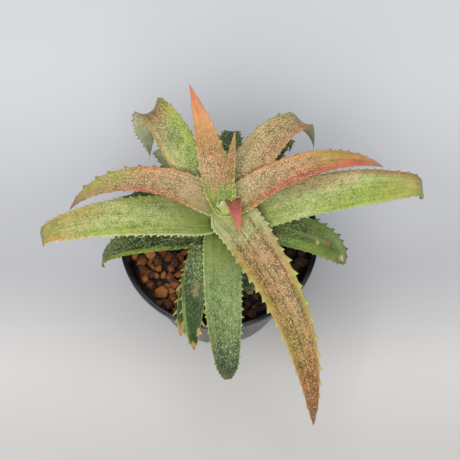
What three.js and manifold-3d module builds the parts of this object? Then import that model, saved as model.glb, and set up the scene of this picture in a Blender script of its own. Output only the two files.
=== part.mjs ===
// A potted bromeliad: a loose rosette of strap leaves with toothed margins, in a black
// plastic pot filled with clay granules.
//
// Units are millimetres and +Z is up. The origin is the centre of the pot's base, where
// the pot stands on a surface. Azimuths are degrees from +X, counter-clockwise from above.

import * as THREE from 'three';
import { mergeVertices } from 'three/addons/utils/BufferGeometryUtils.js';
import Module from 'manifold-3d';

const wasm = await Module();
wasm.setup();

// The pot is a common 12 cm nursery pot.
const POT = {
  rimRadius: 60,
  baseRadius: 40,
  height: 80,
  wall: 1.6,
  floor: 2,
  lipHeight: 5,
  lipStep: 1.2,
  lipRounding: 0.5,
  sides: 60,
  holeCount: 6,
  holeRadius: 3.5,
  holeRing: 24,
  holeSides: 12,
};

// The granules fill the pot to a little below its rim.
const SUBSTRATE = {
  level: 67,
  granuleSize: 9.2,
  sizeSpread: 0.16,
  crowding: 0.88,
  rise: 0.1,
  heightSpread: 0.6,
  sideSpread: 0.4,
  wallGap: 0.3,
  sides: 48,
  seed: 7,
};

// The short stem carries the leaves. It stands in the granules.
const STEM = {
  x: 3,
  y: 0,
  bottom: 56,
  neck: 84,
  top: 118,
  bottomRadius: 5,
  neckRadius: 6,
  topRadius: 4,
  crownRadius: 2.8,
  crownDrop: 1.2,
  sides: 16,
};

// Pieces that touch keep this much air between them.
const GAP = 0.3;

const LEAF = {
  toothPitch: 5.5,
  toothStart: 0.45,
  toothTip: 0.85,
  baseStretch: 0.12,
  sectionSplit: 0.55,
  sectionSplitThickness: 0.8,
  centrelineSteps: 240,
  tipThickness: 0.3,
  tipThickening: 3,
};

// Every leaf starts on the stem's axis and follows its own centreline.
//   azimuth, turn, turnPower: heading at the base, and how far it swings by the tip
//   base: height of its base. reach: distance of its base from the stem's axis
//   rise, droop, droopPower: slope at the base, and how much it falls off by the tip
//   fold: [degrees, place, stretch] of a crease where the outer part hangs down
//   taper: [power, exponent] of the outline, sheath: width of the base against the blade
//   gutter: depth of the hollow of the section, against half its width
const LEAVES = [
  {
    name: 'leaf_heart_red', colour: 0x8f2f33, azimuth: 280, base: 112, reach: 0,
    offset: [5, 6], length: 30, width: 11, rise: 80, droop: 125, droopPower: 0.8,
    taper: [1.3, 0.9], thickness: 1.4, tooth: 0.9,
  },
  {
    name: 'leaf_heart_spike', colour: 0xa9834c, azimuth: 78, base: 116, reach: 2,
    length: 46, width: 10, rise: 50, droop: 0, taper: [1.6, 1], thickness: 1.4, tooth: 1,
  },
  {
    name: 'leaf_heart_tall', colour: 0xb9774f, azimuth: 106, turn: 7, base: 114, reach: 3,
    length: 73, width: 21, rise: 50, droop: 20, taper: [1.5, 1], thickness: 1.8, tooth: 1.2,
  },
  {
    name: 'leaf_left_orange', colour: 0xb78a58, azimuth: 158, turn: 40, base: 112, reach: 4,
    length: 104, width: 21, rise: 41, droop: 106, droopPower: 1.2, taper: [1.9, 0.9],
    thickness: 1.9, tooth: 1.7,
  },
  {
    name: 'leaf_right_orange', colour: 0xb5714f, azimuth: 30, turn: -24, base: 110, reach: 4,
    length: 102, width: 20, rise: 36, droop: 82, droopPower: 1.2, thickness: 1.9, tooth: 1.7,
  },
  {
    name: 'leaf_front_long', colour: 0xa98553, azimuth: 309, turn: -34, turnPower: 1.1,
    base: 107, reach: 4, length: 140, width: 28, rise: 10, droop: 72, droopPower: 1.2,
    taper: [1.8, 0.9], sheath: 1, thickness: 2.1, tooth: 1.8,
  },
  {
    name: 'leaf_back_left', colour: 0x8d9668, azimuth: 129, turn: -5.5, base: 105,
    reach: 4, length: 142, width: 22, rise: 34, droop: 0, fold: [118, 0.5, 0.24],
    taper: [6, 2.3], thickness: 2, tooth: 1.8,
  },
  {
    name: 'leaf_back_right', colour: 0x9a8a63, azimuth: 62, turn: -65, turnPower: 1.5,
    base: 103, reach: 4, length: 116, width: 25, rise: 36, droop: 66, droopPower: 1.5,
    fold: [62, 0.58, 0.22], taper: [2.9, 2.2], thickness: 1.9, tooth: 1.8,
  },
  {
    name: 'leaf_left_green', colour: 0x9aa468, azimuth: 185, turn: 10, base: 101, reach: 5,
    length: 118, width: 26, rise: 25, droop: 45, fold: [70, 0.88, 0.12], gutter: 0.1,
    taper: [3.2, 0.8], thickness: 2.1, tooth: 1.8,
  },
  {
    name: 'leaf_right_green', colour: 0x9aa56a, azimuth: 10, turn: -9, base: 99, reach: 5,
    length: 128, width: 26, rise: 24, droop: 35, fold: [80, 0.88, 0.12], gutter: 0.1,
    taper: [4, 0.8], thickness: 2.1, tooth: 1.8,
  },
  {
    name: 'leaf_front_green', colour: 0x6e8160, azimuth: 268, turn: 9.5, base: 97, reach: 5,
    length: 108, width: 23, rise: 12, droop: 66, droopPower: 1.5, fold: [42, 0.76, 0.12],
    taper: [3.6, 1.2], sheath: 1, thickness: 2, tooth: 1.6,
  },
  {
    name: 'leaf_back_dark', colour: 0x3f5234, azimuth: 86, base: 95, reach: 5,
    length: 78, width: 18, rise: 18, droop: 100, droopPower: 2, taper: [3, 0.8],
    thickness: 1.7, tooth: 2.2,
  },
  {
    name: 'leaf_right_dark', colour: 0x46563a, azimuth: 354, turn: -16, base: 94, reach: 5,
    length: 79, width: 24, rise: 12, droop: 80, droopPower: 2, taper: [4, 0.7],
    thickness: 1.8, tooth: 2.8,
  },
  {
    name: 'leaf_back_dark_right', colour: 0x4a5b40, azimuth: 54, turn: 8, base: 92,
    reach: 5, length: 99, width: 17, rise: 33, droop: 140, droopPower: 1.6, taper: [3, 1.5],
    thickness: 1.6, tooth: 2.2,
  },
  {
    name: 'leaf_left_dark', colour: 0x46593a, azimuth: 193, turn: -13.5, base: 92,
    reach: 5, length: 93, width: 24, rise: 7.5, droop: 110, droopPower: 2, taper: [2.15, 1],
    thickness: 1.8, tooth: 2.8,
  },
  {
    name: 'leaf_front_dark', colour: 0x425437, azimuth: 228, turn: 48, turnPower: 0.5,
    base: 91, reach: 5, length: 80, width: 18, rise: 12, droop: 84, droopPower: 2.3,
    taper: [2.8, 0.9], thickness: 1.7, tooth: 2.6,
  },
  {
    name: 'leaf_back_dark_left', colour: 0x3c4d32, azimuth: 127, base: 90, reach: 5,
    length: 74, width: 17, rise: 18, droop: 80, droopPower: 2, taper: [3, 0.8],
    thickness: 1.7, tooth: 2.2,
  },
  {
    name: 'leaf_side_dark_left', colour: 0x3c4d32, azimuth: 164.5, turn: 5.5, base: 88,
    reach: 5, length: 63, width: 20, rise: 29, droop: 50, droopPower: 2, taper: [4, 1.6],
    thickness: 1.7, tooth: 2.4,
  },
  {
    name: 'leaf_front_dark_low', colour: 0x55593a, azimuth: 219.5, turn: 48,
    turnPower: 0.48, base: 87, reach: 5, length: 71.5, width: 10, rise: 11, droop: 82,
    droopPower: 3.1, taper: [2.4, 0.6], thickness: 1.6, tooth: 2.4,
  },
  {
    name: 'leaf_front_dark_small', colour: 0x3f5034, azimuth: 293, base: 86, reach: 5,
    length: 38, width: 14, rise: 4, droop: 40, droopPower: 1.5, taper: [4, 0.7],
    thickness: 1.5, tooth: 2,
  },
];

const LEAF_DEFAULTS = {
  turn: 0,
  turnPower: 1,
  droopPower: 1.3,
  fold: [0, 0.8, 0.12],
  taper: [2.2, 0.9],
  sheath: 0.8,
  gutter: 0.18,
  offset: [0, 0],
};

// A small seeded generator, so the granules lie the same way every time.
function seededRandom(seed) {
  let state = seed;
  return () => {
    state = (state * 1664525 + 1013904223) % 4294967296;
    return state / 4294967296;
  };
}

// three.js geometry becomes a solid that can be joined and cut.
function toSolid(geometry) {
  const bare = geometry.clone();
  bare.deleteAttribute('normal');
  bare.deleteAttribute('uv');
  const merged = mergeVertices(bare, 1e-4);
  const vertProperties = new Float32Array(merged.attributes.position.array);
  const triVerts = new Uint32Array(merged.index.array);
  return new wasm.Manifold(new wasm.Mesh({ numProp: 3, vertProperties, triVerts }));
}

// A solid goes back to three.js geometry.
function toGeometry(solid) {
  const mesh = solid.getMesh();
  const geometry = new THREE.BufferGeometry();
  geometry.setAttribute('position', new THREE.BufferAttribute(mesh.vertProperties, 3));
  geometry.setIndex(new THREE.BufferAttribute(mesh.triVerts, 1));
  geometry.computeVertexNormals();
  return geometry;
}

// Cutting can leave scraps: only the largest body is the piece.
function largestBody(solid) {
  const bodies = solid.decompose();
  bodies.sort((a, b) => b.volume() - a.volume());
  return bodies[0];
}

// A profile of [radius, height] pairs turned about the vertical axis.
function turned(profile, sides) {
  const points = profile.map(([radius, height]) => new THREE.Vector2(radius, height));
  const geometry = new THREE.LatheGeometry(points, sides);
  geometry.rotateX(Math.PI / 2);
  return geometry;
}

// Radius of the pot's outer face at a height.
function potRadius(height) {
  const slope = (POT.rimRadius - POT.lipStep - POT.baseRadius) / POT.height;
  return POT.baseRadius + slope * height;
}

function makePot() {
  const lipBottom = POT.height - POT.lipHeight;
  const rounding = POT.lipRounding;
  const shell = toSolid(turned([
    [0, 0],
    [POT.baseRadius, 0],
    [potRadius(lipBottom - POT.lipStep), lipBottom - POT.lipStep],
    [POT.rimRadius, lipBottom],
    [POT.rimRadius, POT.height - rounding],
    [POT.rimRadius - rounding, POT.height],
    [POT.rimRadius - POT.wall - POT.lipStep + rounding, POT.height],
    [POT.rimRadius - POT.wall - POT.lipStep, POT.height - rounding],
    [potRadius(lipBottom) - POT.wall, lipBottom],
    [potRadius(POT.floor) - POT.wall, POT.floor],
    [0, POT.floor],
  ], POT.sides));
  let pot = shell;
  for (let i = 0; i < POT.holeCount; i += 1) {
    const angle = (i / POT.holeCount) * Math.PI * 2;
    const hole = new THREE.CylinderGeometry(
      POT.holeRadius, POT.holeRadius, POT.floor * 4, POT.holeSides);
    hole.rotateX(Math.PI / 2);
    hole.translate(POT.holeRing * Math.cos(angle), POT.holeRing * Math.sin(angle), 0);
    pot = pot.subtract(toSolid(hole));
  }
  return pot;
}

// The stem, or a stouter copy that clears it all round.
function makeStem(grow) {
  const geometry = turned([
    [0, STEM.bottom - grow],
    [STEM.bottomRadius + grow, STEM.bottom - grow],
    [STEM.neckRadius + grow, STEM.neck],
    [STEM.topRadius + grow, STEM.top - STEM.topRadius],
    [STEM.crownRadius + grow, STEM.top - STEM.crownDrop + grow],
    [0, STEM.top + grow],
  ], STEM.sides);
  geometry.translate(STEM.x, STEM.y, 0);
  return toSolid(geometry);
}

// One granule: a rough ball with 20 faces, turned at random.
function makeGranule(size, place, random) {
  const geometry = new THREE.IcosahedronGeometry(size / 2, 0);
  geometry.rotateX(random() * Math.PI);
  geometry.rotateZ(random() * Math.PI);
  geometry.translate(place.x, place.y, place.z);
  return toSolid(geometry);
}

// Granules lie on a sunflower spiral, which covers a disc evenly, a little out of true.
function granuleLayer(outerRadius) {
  const random = seededRandom(SUBSTRATE.seed);
  const within = (spread) => spread * (2 * random() - 1);
  const spacing = SUBSTRATE.granuleSize * SUBSTRATE.crowding;
  const reach = outerRadius - SUBSTRATE.granuleSize / 2;
  const count = Math.round((Math.PI * reach * reach) / (spacing * spacing));
  const goldenAngle = Math.PI * (3 - Math.sqrt(5));
  const granules = [];
  for (let i = 0; i < count; i += 1) {
    const angle = i * goldenAngle;
    const size = SUBSTRATE.granuleSize * (1 + within(SUBSTRATE.sizeSpread));
    const free = outerRadius - size / 2 - SUBSTRATE.sideSpread;
    const radius = Math.min(reach * Math.sqrt((i + 0.5) / count), free);
    const place = new THREE.Vector3(
      radius * Math.cos(angle) + within(SUBSTRATE.sideSpread),
      radius * Math.sin(angle),
      SUBSTRATE.level + SUBSTRATE.rise * size + within(SUBSTRATE.heightSpread),
    );
    granules.push(makeGranule(size, place, random));
  }
  return granules;
}

function makeSubstrate() {
  const bottom = POT.floor + SUBSTRATE.wallGap;
  const bottomRadius = potRadius(bottom) - POT.wall - SUBSTRATE.wallGap;
  const topRadius = potRadius(SUBSTRATE.level) - POT.wall - SUBSTRATE.wallGap;
  const body = toSolid(turned([
    [0, bottom],
    [bottomRadius, bottom],
    [topRadius, SUBSTRATE.level],
    [0, SUBSTRATE.level],
  ], SUBSTRATE.sides));
  const heap = wasm.Manifold.union([body, ...granuleLayer(topRadius)]);
  return largestBody(heap.subtract(makeStem(GAP)));
}

const rad = THREE.MathUtils.degToRad;

// The centreline of a leaf. Its heading swings and its slope falls off with the distance
// s from the base (0) to the tip (1), and a crease bends it down over a short stretch.
// Each frame has its point, and the directions along the leaf, across it and out of it.
function leafFrames(leaf) {
  const steps = LEAF.centrelineSteps;
  const [foldAngle, foldPlace, foldStretch] = leaf.fold;
  const start = rad(leaf.azimuth);
  const point = new THREE.Vector3(
    STEM.x + leaf.offset[0] + leaf.reach * Math.cos(start),
    STEM.y + leaf.offset[1] + leaf.reach * Math.sin(start),
    leaf.base,
  );
  const frames = [];
  let along = null;
  for (let i = 0; i <= steps; i += 1) {
    const s = i / steps;
    const bend = THREE.MathUtils.smoothstep(s, foldPlace - foldStretch / 2,
      foldPlace + foldStretch / 2);
    const slope = rad(leaf.rise - leaf.droop * s ** leaf.droopPower - foldAngle * bend);
    const heading = rad(leaf.azimuth + leaf.turn * s ** leaf.turnPower);
    const next = new THREE.Vector3(
      Math.cos(slope) * Math.cos(heading),
      Math.cos(slope) * Math.sin(heading),
      Math.sin(slope),
    );
    if (along) {
      point.addScaledVector(along.clone().add(next), leaf.length / steps / 2);
    }
    along = next;
    const across = new THREE.Vector3(-Math.sin(heading), Math.cos(heading), 0);
    const out = new THREE.Vector3().crossVectors(along, across);
    frames.push({ point: point.clone(), along, across, out });
  }
  return frames;
}

// Half the width of a leaf at s: full from just above the base, then drawn in to the tip.
function halfWidth(leaf, s) {
  const [power, exponent] = leaf.taper;
  const opening = Math.min(s / LEAF.baseStretch, 1) ** 0.7;
  const outline = (1 - s ** power) ** exponent;
  return (leaf.width / 2) * outline * (leaf.sheath + (1 - leaf.sheath) * opening);
}

// The leaf as one closed solid. Its section has a sharp margin on each side and three
// points on each face, and each margin carries one forward tooth for every row of them.
// The grow value makes it stouter all round, for cutting its neighbours clear.
function makeLeaf(leaf, grow) {
  const frames = leafFrames(leaf);
  const rows = Math.round(leaf.length / LEAF.toothPitch);
  const positions = [];
  const triangles = [];

  // A point of the leaf at s, v across (-1 to 1), lifted off the middle surface. Beyond
  // the margin the blade goes on outward in the slope that its hollow section has there.
  function addPoint(s, v, lift, outward) {
    const frame = frames[Math.round(Math.min(s, 1) * LEAF.centrelineSteps)];
    const half = halfWidth(leaf, Math.min(s, 1));
    const spot = frame.point.clone();
    if (s === 0 || s === 1) {
      spot.addScaledVector(frame.along, s === 0 ? -grow : grow);
    }
    const marginSlope = 2 * leaf.gutter;
    const beyond = outward / Math.hypot(1, marginSlope);
    spot.addScaledVector(frame.across, v * half + Math.sign(v) * beyond);
    spot.addScaledVector(frame.out, leaf.gutter * half * v * v + lift + beyond * marginSlope);
    positions.push(spot.x, spot.y, spot.z);
    return positions.length / 3 - 1;
  }

  function addTriangle(a, b, c, flip) {
    triangles.push(...(flip ? [a, c, b] : [a, b, c]));
  }

  // The three inner points of a face in each row.
  function faceRows(side) {
    const split = LEAF.sectionSplit;
    const list = [];
    for (let row = 0; row < rows; row += 1) {
      const s = row / rows;
      const fullness = Math.min(1, LEAF.tipThickness + LEAF.tipThickening * (1 - s));
      const body = (leaf.thickness / 2) * fullness;
      const edge = body * LEAF.sectionSplitThickness;
      list.push([
        addPoint(s, -split, side * (edge + grow), 0),
        addPoint(s, 0, side * (body + grow), 0),
        addPoint(s, split, side * (edge + grow), 0),
      ]);
    }
    return list;
  }

  // The points of one margin, three for each row: margin, foot of the tooth, its tip.
  function marginRows(v) {
    const list = [];
    for (let row = 0; row < rows; row += 1) {
      const last = row === rows - 1;
      const height = leaf.tooth * Math.min(1, row / 2) * (last ? 0 : 1);
      list.push([
        addPoint(row / rows, v, 0, grow),
        addPoint((row + LEAF.toothStart) / rows, v, 0, grow),
        addPoint((row + LEAF.toothTip) / rows, v, 0, grow + height),
      ]);
    }
    return list;
  }

  const top = faceRows(1);
  const bottom = faceRows(-1);
  const left = marginRows(-1);
  const right = marginRows(1);
  const tip = addPoint(1, 0, 0, 0);

  function coverFace(face, flip) {
    for (let row = 0; row < rows - 1; row += 1) {
      for (let column = 0; column < 2; column += 1) {
        addTriangle(face[row][column], face[row + 1][column], face[row + 1][column + 1], flip);
        addTriangle(face[row][column], face[row + 1][column + 1], face[row][column + 1], flip);
      }
    }
    addTriangle(face[rows - 1][0], tip, face[rows - 1][1], flip);
    addTriangle(face[rows - 1][1], tip, face[rows - 1][2], flip);
  }

  function coverMargin(face, column, margin, flip) {
    for (let row = 0; row < rows - 1; row += 1) {
      const inner = face[row][column];
      const nextInner = face[row + 1][column];
      const [edge, foot, point] = margin[row];
      const nextEdge = margin[row + 1][0];
      addTriangle(inner, edge, foot, flip);
      addTriangle(inner, foot, point, flip);
      addTriangle(inner, point, nextInner, flip);
      addTriangle(nextInner, point, nextEdge, flip);
    }
    const [edge, foot, point] = margin[rows - 1];
    const inner = face[rows - 1][column];
    addTriangle(inner, edge, foot, flip);
    addTriangle(inner, foot, point, flip);
    addTriangle(inner, point, tip, flip);
  }

  coverFace(top, false);
  coverFace(bottom, true);
  coverMargin(top, 0, left, false);
  coverMargin(bottom, 0, left, true);
  coverMargin(top, 2, right, true);
  coverMargin(bottom, 2, right, false);

  // The cut end at the base.
  const rim = [left[0][0], ...top[0], right[0][0], ...[...bottom[0]].reverse()];
  for (let i = 1; i < rim.length - 1; i += 1) {
    addTriangle(rim[0], rim[i], rim[i + 1], false);
  }

  const geometry = new THREE.BufferGeometry();
  geometry.setAttribute('position', new THREE.Float32BufferAttribute(positions, 3));
  geometry.setIndex(triangles);
  return toSolid(geometry);
}

// Leaves are cut from the heart outwards: each makes room for the stem and for the leaves
// above it, as overlapping sheaths do on the plant.
function makeLeaves() {
  const placed = [makeStem(GAP)];
  const solids = new Map();
  for (const entry of LEAVES) {
    const leaf = { ...LEAF_DEFAULTS, ...entry };
    const solid = placed.reduce((rest, tool) => rest.subtract(tool), makeLeaf(leaf, 0));
    solids.set(leaf.name, { solid: largestBody(solid), colour: leaf.colour });
    placed.push(makeLeaf(leaf, GAP));
  }
  return solids;
}

function named(name, solid, colour, roughness, metalness) {
  const material = new THREE.MeshStandardMaterial({ color: colour, roughness, metalness });
  const mesh = new THREE.Mesh(toGeometry(solid), material);
  mesh.name = name;
  return mesh;
}

const group = new THREE.Group();
group.name = 'potted_bromeliad';
group.add(named('pot', makePot(), 0x0d0d0f, 0.25, 0));
group.add(named('substrate', makeSubstrate(), 0x7a4630, 0.9, 0));
group.add(named('stem', makeStem(0), 0x9a8f6a, 0.8, 0));
for (const [name, { solid, colour }] of makeLeaves()) {
  group.add(named(name, solid, colour, 0.6, 0));
}

export default group;
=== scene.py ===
# %% [markdown]
# # A potted bromeliad with burnt orange leaves
#
# This lesson dresses a small potted plant: a loose rosette of twenty strap leaves with
# toothed margins, a short stem, a bed of fired clay granules and a black plastic pot.
# The frame brings in the plain solids with their real sizes and places. Each cell then
# lays a detailed surface over one of them, worked out with numpy, and gives it a
# material. Lengths in the text and in the tables are millimetres, Blender's are metres.

import math

import bmesh
import bpy
import numpy as np
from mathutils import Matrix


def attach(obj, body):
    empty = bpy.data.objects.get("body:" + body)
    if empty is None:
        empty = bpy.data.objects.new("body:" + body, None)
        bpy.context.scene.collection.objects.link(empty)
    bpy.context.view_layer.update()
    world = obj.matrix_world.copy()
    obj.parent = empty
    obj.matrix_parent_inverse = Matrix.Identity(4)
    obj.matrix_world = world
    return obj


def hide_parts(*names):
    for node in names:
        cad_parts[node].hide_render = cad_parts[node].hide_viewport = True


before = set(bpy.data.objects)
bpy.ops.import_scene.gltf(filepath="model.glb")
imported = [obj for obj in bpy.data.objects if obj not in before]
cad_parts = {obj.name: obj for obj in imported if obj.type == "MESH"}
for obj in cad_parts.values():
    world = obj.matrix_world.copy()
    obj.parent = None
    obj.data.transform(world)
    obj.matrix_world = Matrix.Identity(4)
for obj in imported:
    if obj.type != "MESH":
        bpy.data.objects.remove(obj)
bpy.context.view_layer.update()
MM = 0.001

# %% [markdown]
# ## The camera
#
# A plant on a table is usually photographed standing, looking down at it. Here the
# camera looks down at 64 degrees, from 70 cm away, through a short telephoto lens. The
# place was found by setting the pot's rim and the leaf tips against the picture.


# %% Place the camera
def new_object(name, data):
    """Puts an object with the given data into the scene."""
    thing = bpy.data.objects.new(name, data)
    bpy.context.collection.objects.link(thing)
    return thing


CAMERA_ELEVATION = math.radians(64)
CAMERA_DISTANCE = 700 * MM
CAMERA_TARGET = np.array((6.6, 3.3, 80.0)) * MM

camera = new_object("camera", bpy.data.cameras.new("camera"))
camera.data.sensor_width = 36
camera.data.lens = 90.8
camera.data.clip_start = 0.01
camera.data.clip_end = 20
backwards = np.array((0, -math.cos(CAMERA_ELEVATION), math.sin(CAMERA_ELEVATION)))
camera.location = CAMERA_TARGET + CAMERA_DISTANCE * backwards
camera.rotation_euler = (math.pi / 2 - CAMERA_ELEVATION, 0, 0)
bpy.context.scene.camera = camera
print("the camera stands at", [round(c, 3) for c in camera.location])

# %% [markdown]
# ## Small helpers for nodes
#
# A material is a tree of nodes. These helpers add one node at a time and either set an
# input to a number or join it to another node, so a recipe reads from top to bottom.


# %% Helpers that add nodes
def feed(tree, inputs, values):
    """Sets inputs, given by name or number, to values or joins them to sockets."""
    for key, value in values.items():
        if isinstance(value, bpy.types.NodeSocket):
            tree.links.new(value, inputs[key])
        else:
            inputs[key].default_value = value


def add(tree, kind, inputs=None, **settings):
    """Adds a shader node, makes its settings and feeds its inputs."""
    made = tree.nodes.new("ShaderNode" + kind)
    for key, value in settings.items():
        setattr(made, key, value)
    feed(tree, made.inputs, inputs or {})
    return made


def calculate(tree, operation, first, second=0.0, clamp=False):
    """One step of arithmetic on two numbers."""
    values = {0: first, 1: second}
    return add(tree, "Math", values, operation=operation, use_clamp=clamp).outputs[0]


def times(tree, first, *others):
    """The product of two or more numbers."""
    for other in others:
        first = calculate(tree, "MULTIPLY", first, other)
    return first


def blend(tree, factor, first, second, way="MIX"):
    """Mixes two colours: 0 gives the first, 1 the second."""
    values = {0: factor, 6: first, 7: second}
    return add(tree, "Mix", values, data_type="RGBA", blend_type=way).outputs[2]


def spread(tree, value, low, high, start=0.0, end=1.0):
    """Stretches the range low to high of a value to start to end, and cuts off the rest."""
    values = {0: value, 1: low, 2: high, 3: start, 4: end}
    return add(tree, "MapRange", values).outputs[0]


def scaled(tree, vector, factors):
    """Multiplies a place by three factors, which squeezes or stretches a pattern."""
    values = {0: vector, 1: factors}
    return add(tree, "VectorMath", values, operation="MULTIPLY").outputs[0]


def place_in_mm(tree):
    """Where a point of the piece lies, in millimetres."""
    return scaled(tree, add(tree, "TexCoord").outputs["Object"], (1000, 1000, 1000))


def noise(tree, vector, scale, detail=2.0, roughness=0.5):
    """A cloudy pattern, about 0.5 in the middle."""
    values = {"Vector": vector, "Scale": scale, "Detail": detail, "Roughness": roughness}
    return add(tree, "TexNoise", values).outputs[0]


print("node helpers are ready")

# %% [markdown]
# Effects that several materials share go into a group, and every material ends in one
# coat of colour, roughness and relief. Blender reckons with linear light, so a colour
# picked on a screen is converted first.


# %% Helpers for groups, materials and colours
def new_group(name, numbers, outputs):
    """A shader node group that takes a place and named numbers with their usual values."""
    group = bpy.data.node_groups.new(name, "ShaderNodeTree")
    make = group.interface.new_socket
    make("Place", in_out="INPUT", socket_type="NodeSocketVector")
    for title, value in numbers.items():
        socket = make(title, in_out="INPUT", socket_type="NodeSocketFloat")
        socket.default_value = value
    for title in outputs:
        make(title, in_out="OUTPUT", socket_type="NodeSocketFloat")
    enter = group.nodes.new("NodeGroupInput").outputs
    leave = group.nodes.new("NodeGroupOutput").inputs
    return group, enter, leave


def new_material(name):
    """An empty material with its Principled shader."""
    material = bpy.data.materials.new(name)
    material.use_nodes = True
    tree = material.node_tree
    return material, tree, tree.nodes["Principled BSDF"]


def coat(tree, shader, colour, roughness, height, strength, depth):
    """Gives a shader its colour, its roughness and a relief of a depth in millimetres."""
    values = {"Height": height, "Strength": strength, "Distance": depth * MM}
    bump = add(tree, "Bump", values).outputs[0]
    values = {"Base Color": colour, "Roughness": roughness, "Normal": bump}
    feed(tree, shader.inputs, values)


def linear(colour):
    """A screen colour of 0 to 255 as the linear light that Blender reckons with."""
    c = np.asarray(colour, float) / 255
    return np.where(c <= 0.04045, c / 12.92, ((c + 0.055) / 1.055) ** 2.4)


def paint(*colour):
    """A screen colour as the four numbers that a node's colour socket takes."""
    return (*linear(colour), 1.0)


print("mid grey is", round(float(linear(128)), 3), "in linear light")

# %% [markdown]
# ## Light and backdrop
#
# The plant stands on a plain pale sheet under a large soft light in front and a weaker
# one above, so the shadows are faint and wide. A wide lamp close by gives such a light.
# The sheet's colour carries painted light: it is painted brighter and cooler towards the back and
# warmer in front, with a painted pool of light just in front of the pot and a darker band level
# with the plant as painted soft shadow. It is a stage: it isn't part of the plant.


# %% Light the scene and lay the floor
def soft_lamp(name, power, size, place):
    """A square lamp of a given size that points at the plant."""
    lamp = new_object(name, bpy.data.lights.new(name, "AREA"))
    lamp.data.energy = power
    lamp.data.size = size
    lamp.location = place
    away = lamp.location - type(lamp.location)(LAMP_TARGET)
    lamp.rotation_euler = away.to_track_quat("Z", "Y").to_euler()


LAMP_TARGET = (0, 0, 50 * MM)
soft_lamp("key_lamp", 11.6, 0.7, (-0.12, -0.78, 0.95))
soft_lamp("top_lamp", 2.6, 0.6, (-0.05, 0.15, 1.15))

world = bpy.data.worlds.new("studio")
world.use_nodes = True
sky = world.node_tree.nodes["Background"].inputs
feed(world.node_tree, sky, {"Color": (0.95, 0.97, 1.0, 1), "Strength": 0.5})
bpy.context.scene.world = world
bpy.context.scene.view_settings.view_transform = "Standard"

HALF_FLOOR = 3.0
# Painted light on the floor: each row gives where along y, in metres, a blend starts and ends, and
# the tone it reaches. The back is painted brighter, a painted pool of light lies in front of the
# pot, and the tone is a little darker again further in front.
FLOOR_PAINTED_LIGHT = [
    (0.0, 0.19, (212, 213, 216)),
    (0.02, -0.06, (202, 199, 196)),
    (-0.05, -0.13, (187, 184, 181)),
]
floor_mesh = bpy.data.meshes.new("floor")
corners = [(x * HALF_FLOOR, y * HALF_FLOOR, 0) for x, y in ((-1, -1), (1, -1), (1, 1), (-1, 1))]
floor_mesh.from_pydata(corners, [], [(0, 1, 2, 3)])
floor = new_object("floor", floor_mesh)

sheet, tree, shader = new_material("pale sheet")
depth = add(tree, "SeparateXYZ", {0: add(tree, "TexCoord").outputs["Object"]}).outputs[1]
# The starting tone is a painted soft shadow, in the band level with the plant.
sheet_colour_with_painted_light = paint(180, 180, 183)
for low, high, tone in FLOOR_PAINTED_LIGHT:
    part = spread(tree, depth, low, high)
    part.node.interpolation_type = "SMOOTHSTEP"
    sheet_colour_with_painted_light = blend(tree, part, sheet_colour_with_painted_light, paint(*tone))
feed(tree, shader.inputs, {"Base Color": sheet_colour_with_painted_light, "Roughness": 0.9})
floor_mesh.materials.append(sheet)
print("the floor is", 2 * HALF_FLOOR, "metres wide")

# %% [markdown]
# ## From a grid of points to a mesh
#
# Every new surface here is a grid: rows along the piece and a closed ring of points
# around it. The faces between neighbouring rows are four-sided, and a fan of triangles
# closes each end, so that each piece is a solid with an inside and an outside. Soft
# steps, mixes and circles come back in all of them.


# %% Small helpers for shapes
def smooth_step(value, low, high):
    """Rises from 0 at low to 1 at high, flat at both ends."""
    u = np.clip((value - low) / (high - low), 0, 1)
    return u * u * (3 - 2 * u)


def step_at(value, place, stretch):
    """A smooth step round a place, of a given stretch."""
    return smooth_step(value, place - stretch / 2, place + stretch / 2)


def mix(first, second, part):
    """The first where part is 0, the second where it is 1, and a blend between."""
    return first * (1 - part) + second * part


def round_angles(count):
    """The angles of evenly spaced points round a circle."""
    return 2 * np.pi * np.arange(count) / count


def turned(radius, height, angle):
    """Rings round an upright axis: x = r cos a, y = r sin a, z = h for each row r, h."""
    flat = radius * np.cos(angle), radius * np.sin(angle), height
    return np.stack(np.broadcast_arrays(*flat), -1)


print("a smooth step is", smooth_step(0.25, 0, 1), "a quarter of the way")


# %% Build a closed mesh from a grid of rings
def tube_shape(rings):
    """Points and faces of rings, shaped (rows, points, 3), with a fan at each end."""
    rows, points = rings.shape[:2]
    ends = np.stack([rings[0].mean(0), rings[-1].mean(0)])
    row, point = np.meshgrid(np.arange(rows - 1), np.arange(points), indexing="ij")
    after = (point + 1) % points
    here, there = row * points, (row + 1) * points
    quads = np.stack([here + point, here + after, there + after, there + point], -1)
    first = np.arange(points)
    second = (first + 1) % points
    last = (rows - 1) * points
    start = np.stack([second, first, np.full(points, rows * points)], -1)
    end = np.stack([last + first, last + second, np.full(points, rows * points + 1)], -1)
    return np.concatenate([rings.reshape(-1, 3), ends]), [quads.reshape(-1, 4), start, end]


def faces_to_mesh(name, points, face_sets, smooth=True):
    """Fills a mesh with points in mm and arrays of faces, shaded smooth or flat."""
    mesh = bpy.data.meshes.new(name)
    mesh.vertices.add(len(points))
    mesh.vertices.foreach_set("co", np.asarray(points * MM, np.float32).ravel())
    loops = np.concatenate([faces.ravel() for faces in face_sets])
    sizes = np.concatenate([np.full(len(faces), faces.shape[1]) for faces in face_sets])
    mesh.loops.add(len(loops))
    mesh.loops.foreach_set("vertex_index", loops.astype(np.int32))
    mesh.polygons.add(len(sizes))
    starts = np.concatenate([[0], np.cumsum(sizes)[:-1]])
    mesh.polygons.foreach_set("loop_start", starts.astype(np.int32))
    mesh.polygons.foreach_set("use_smooth", np.full(len(sizes), smooth))
    mesh.update(calc_edges=True)
    mesh.validate()
    return mesh


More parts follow.
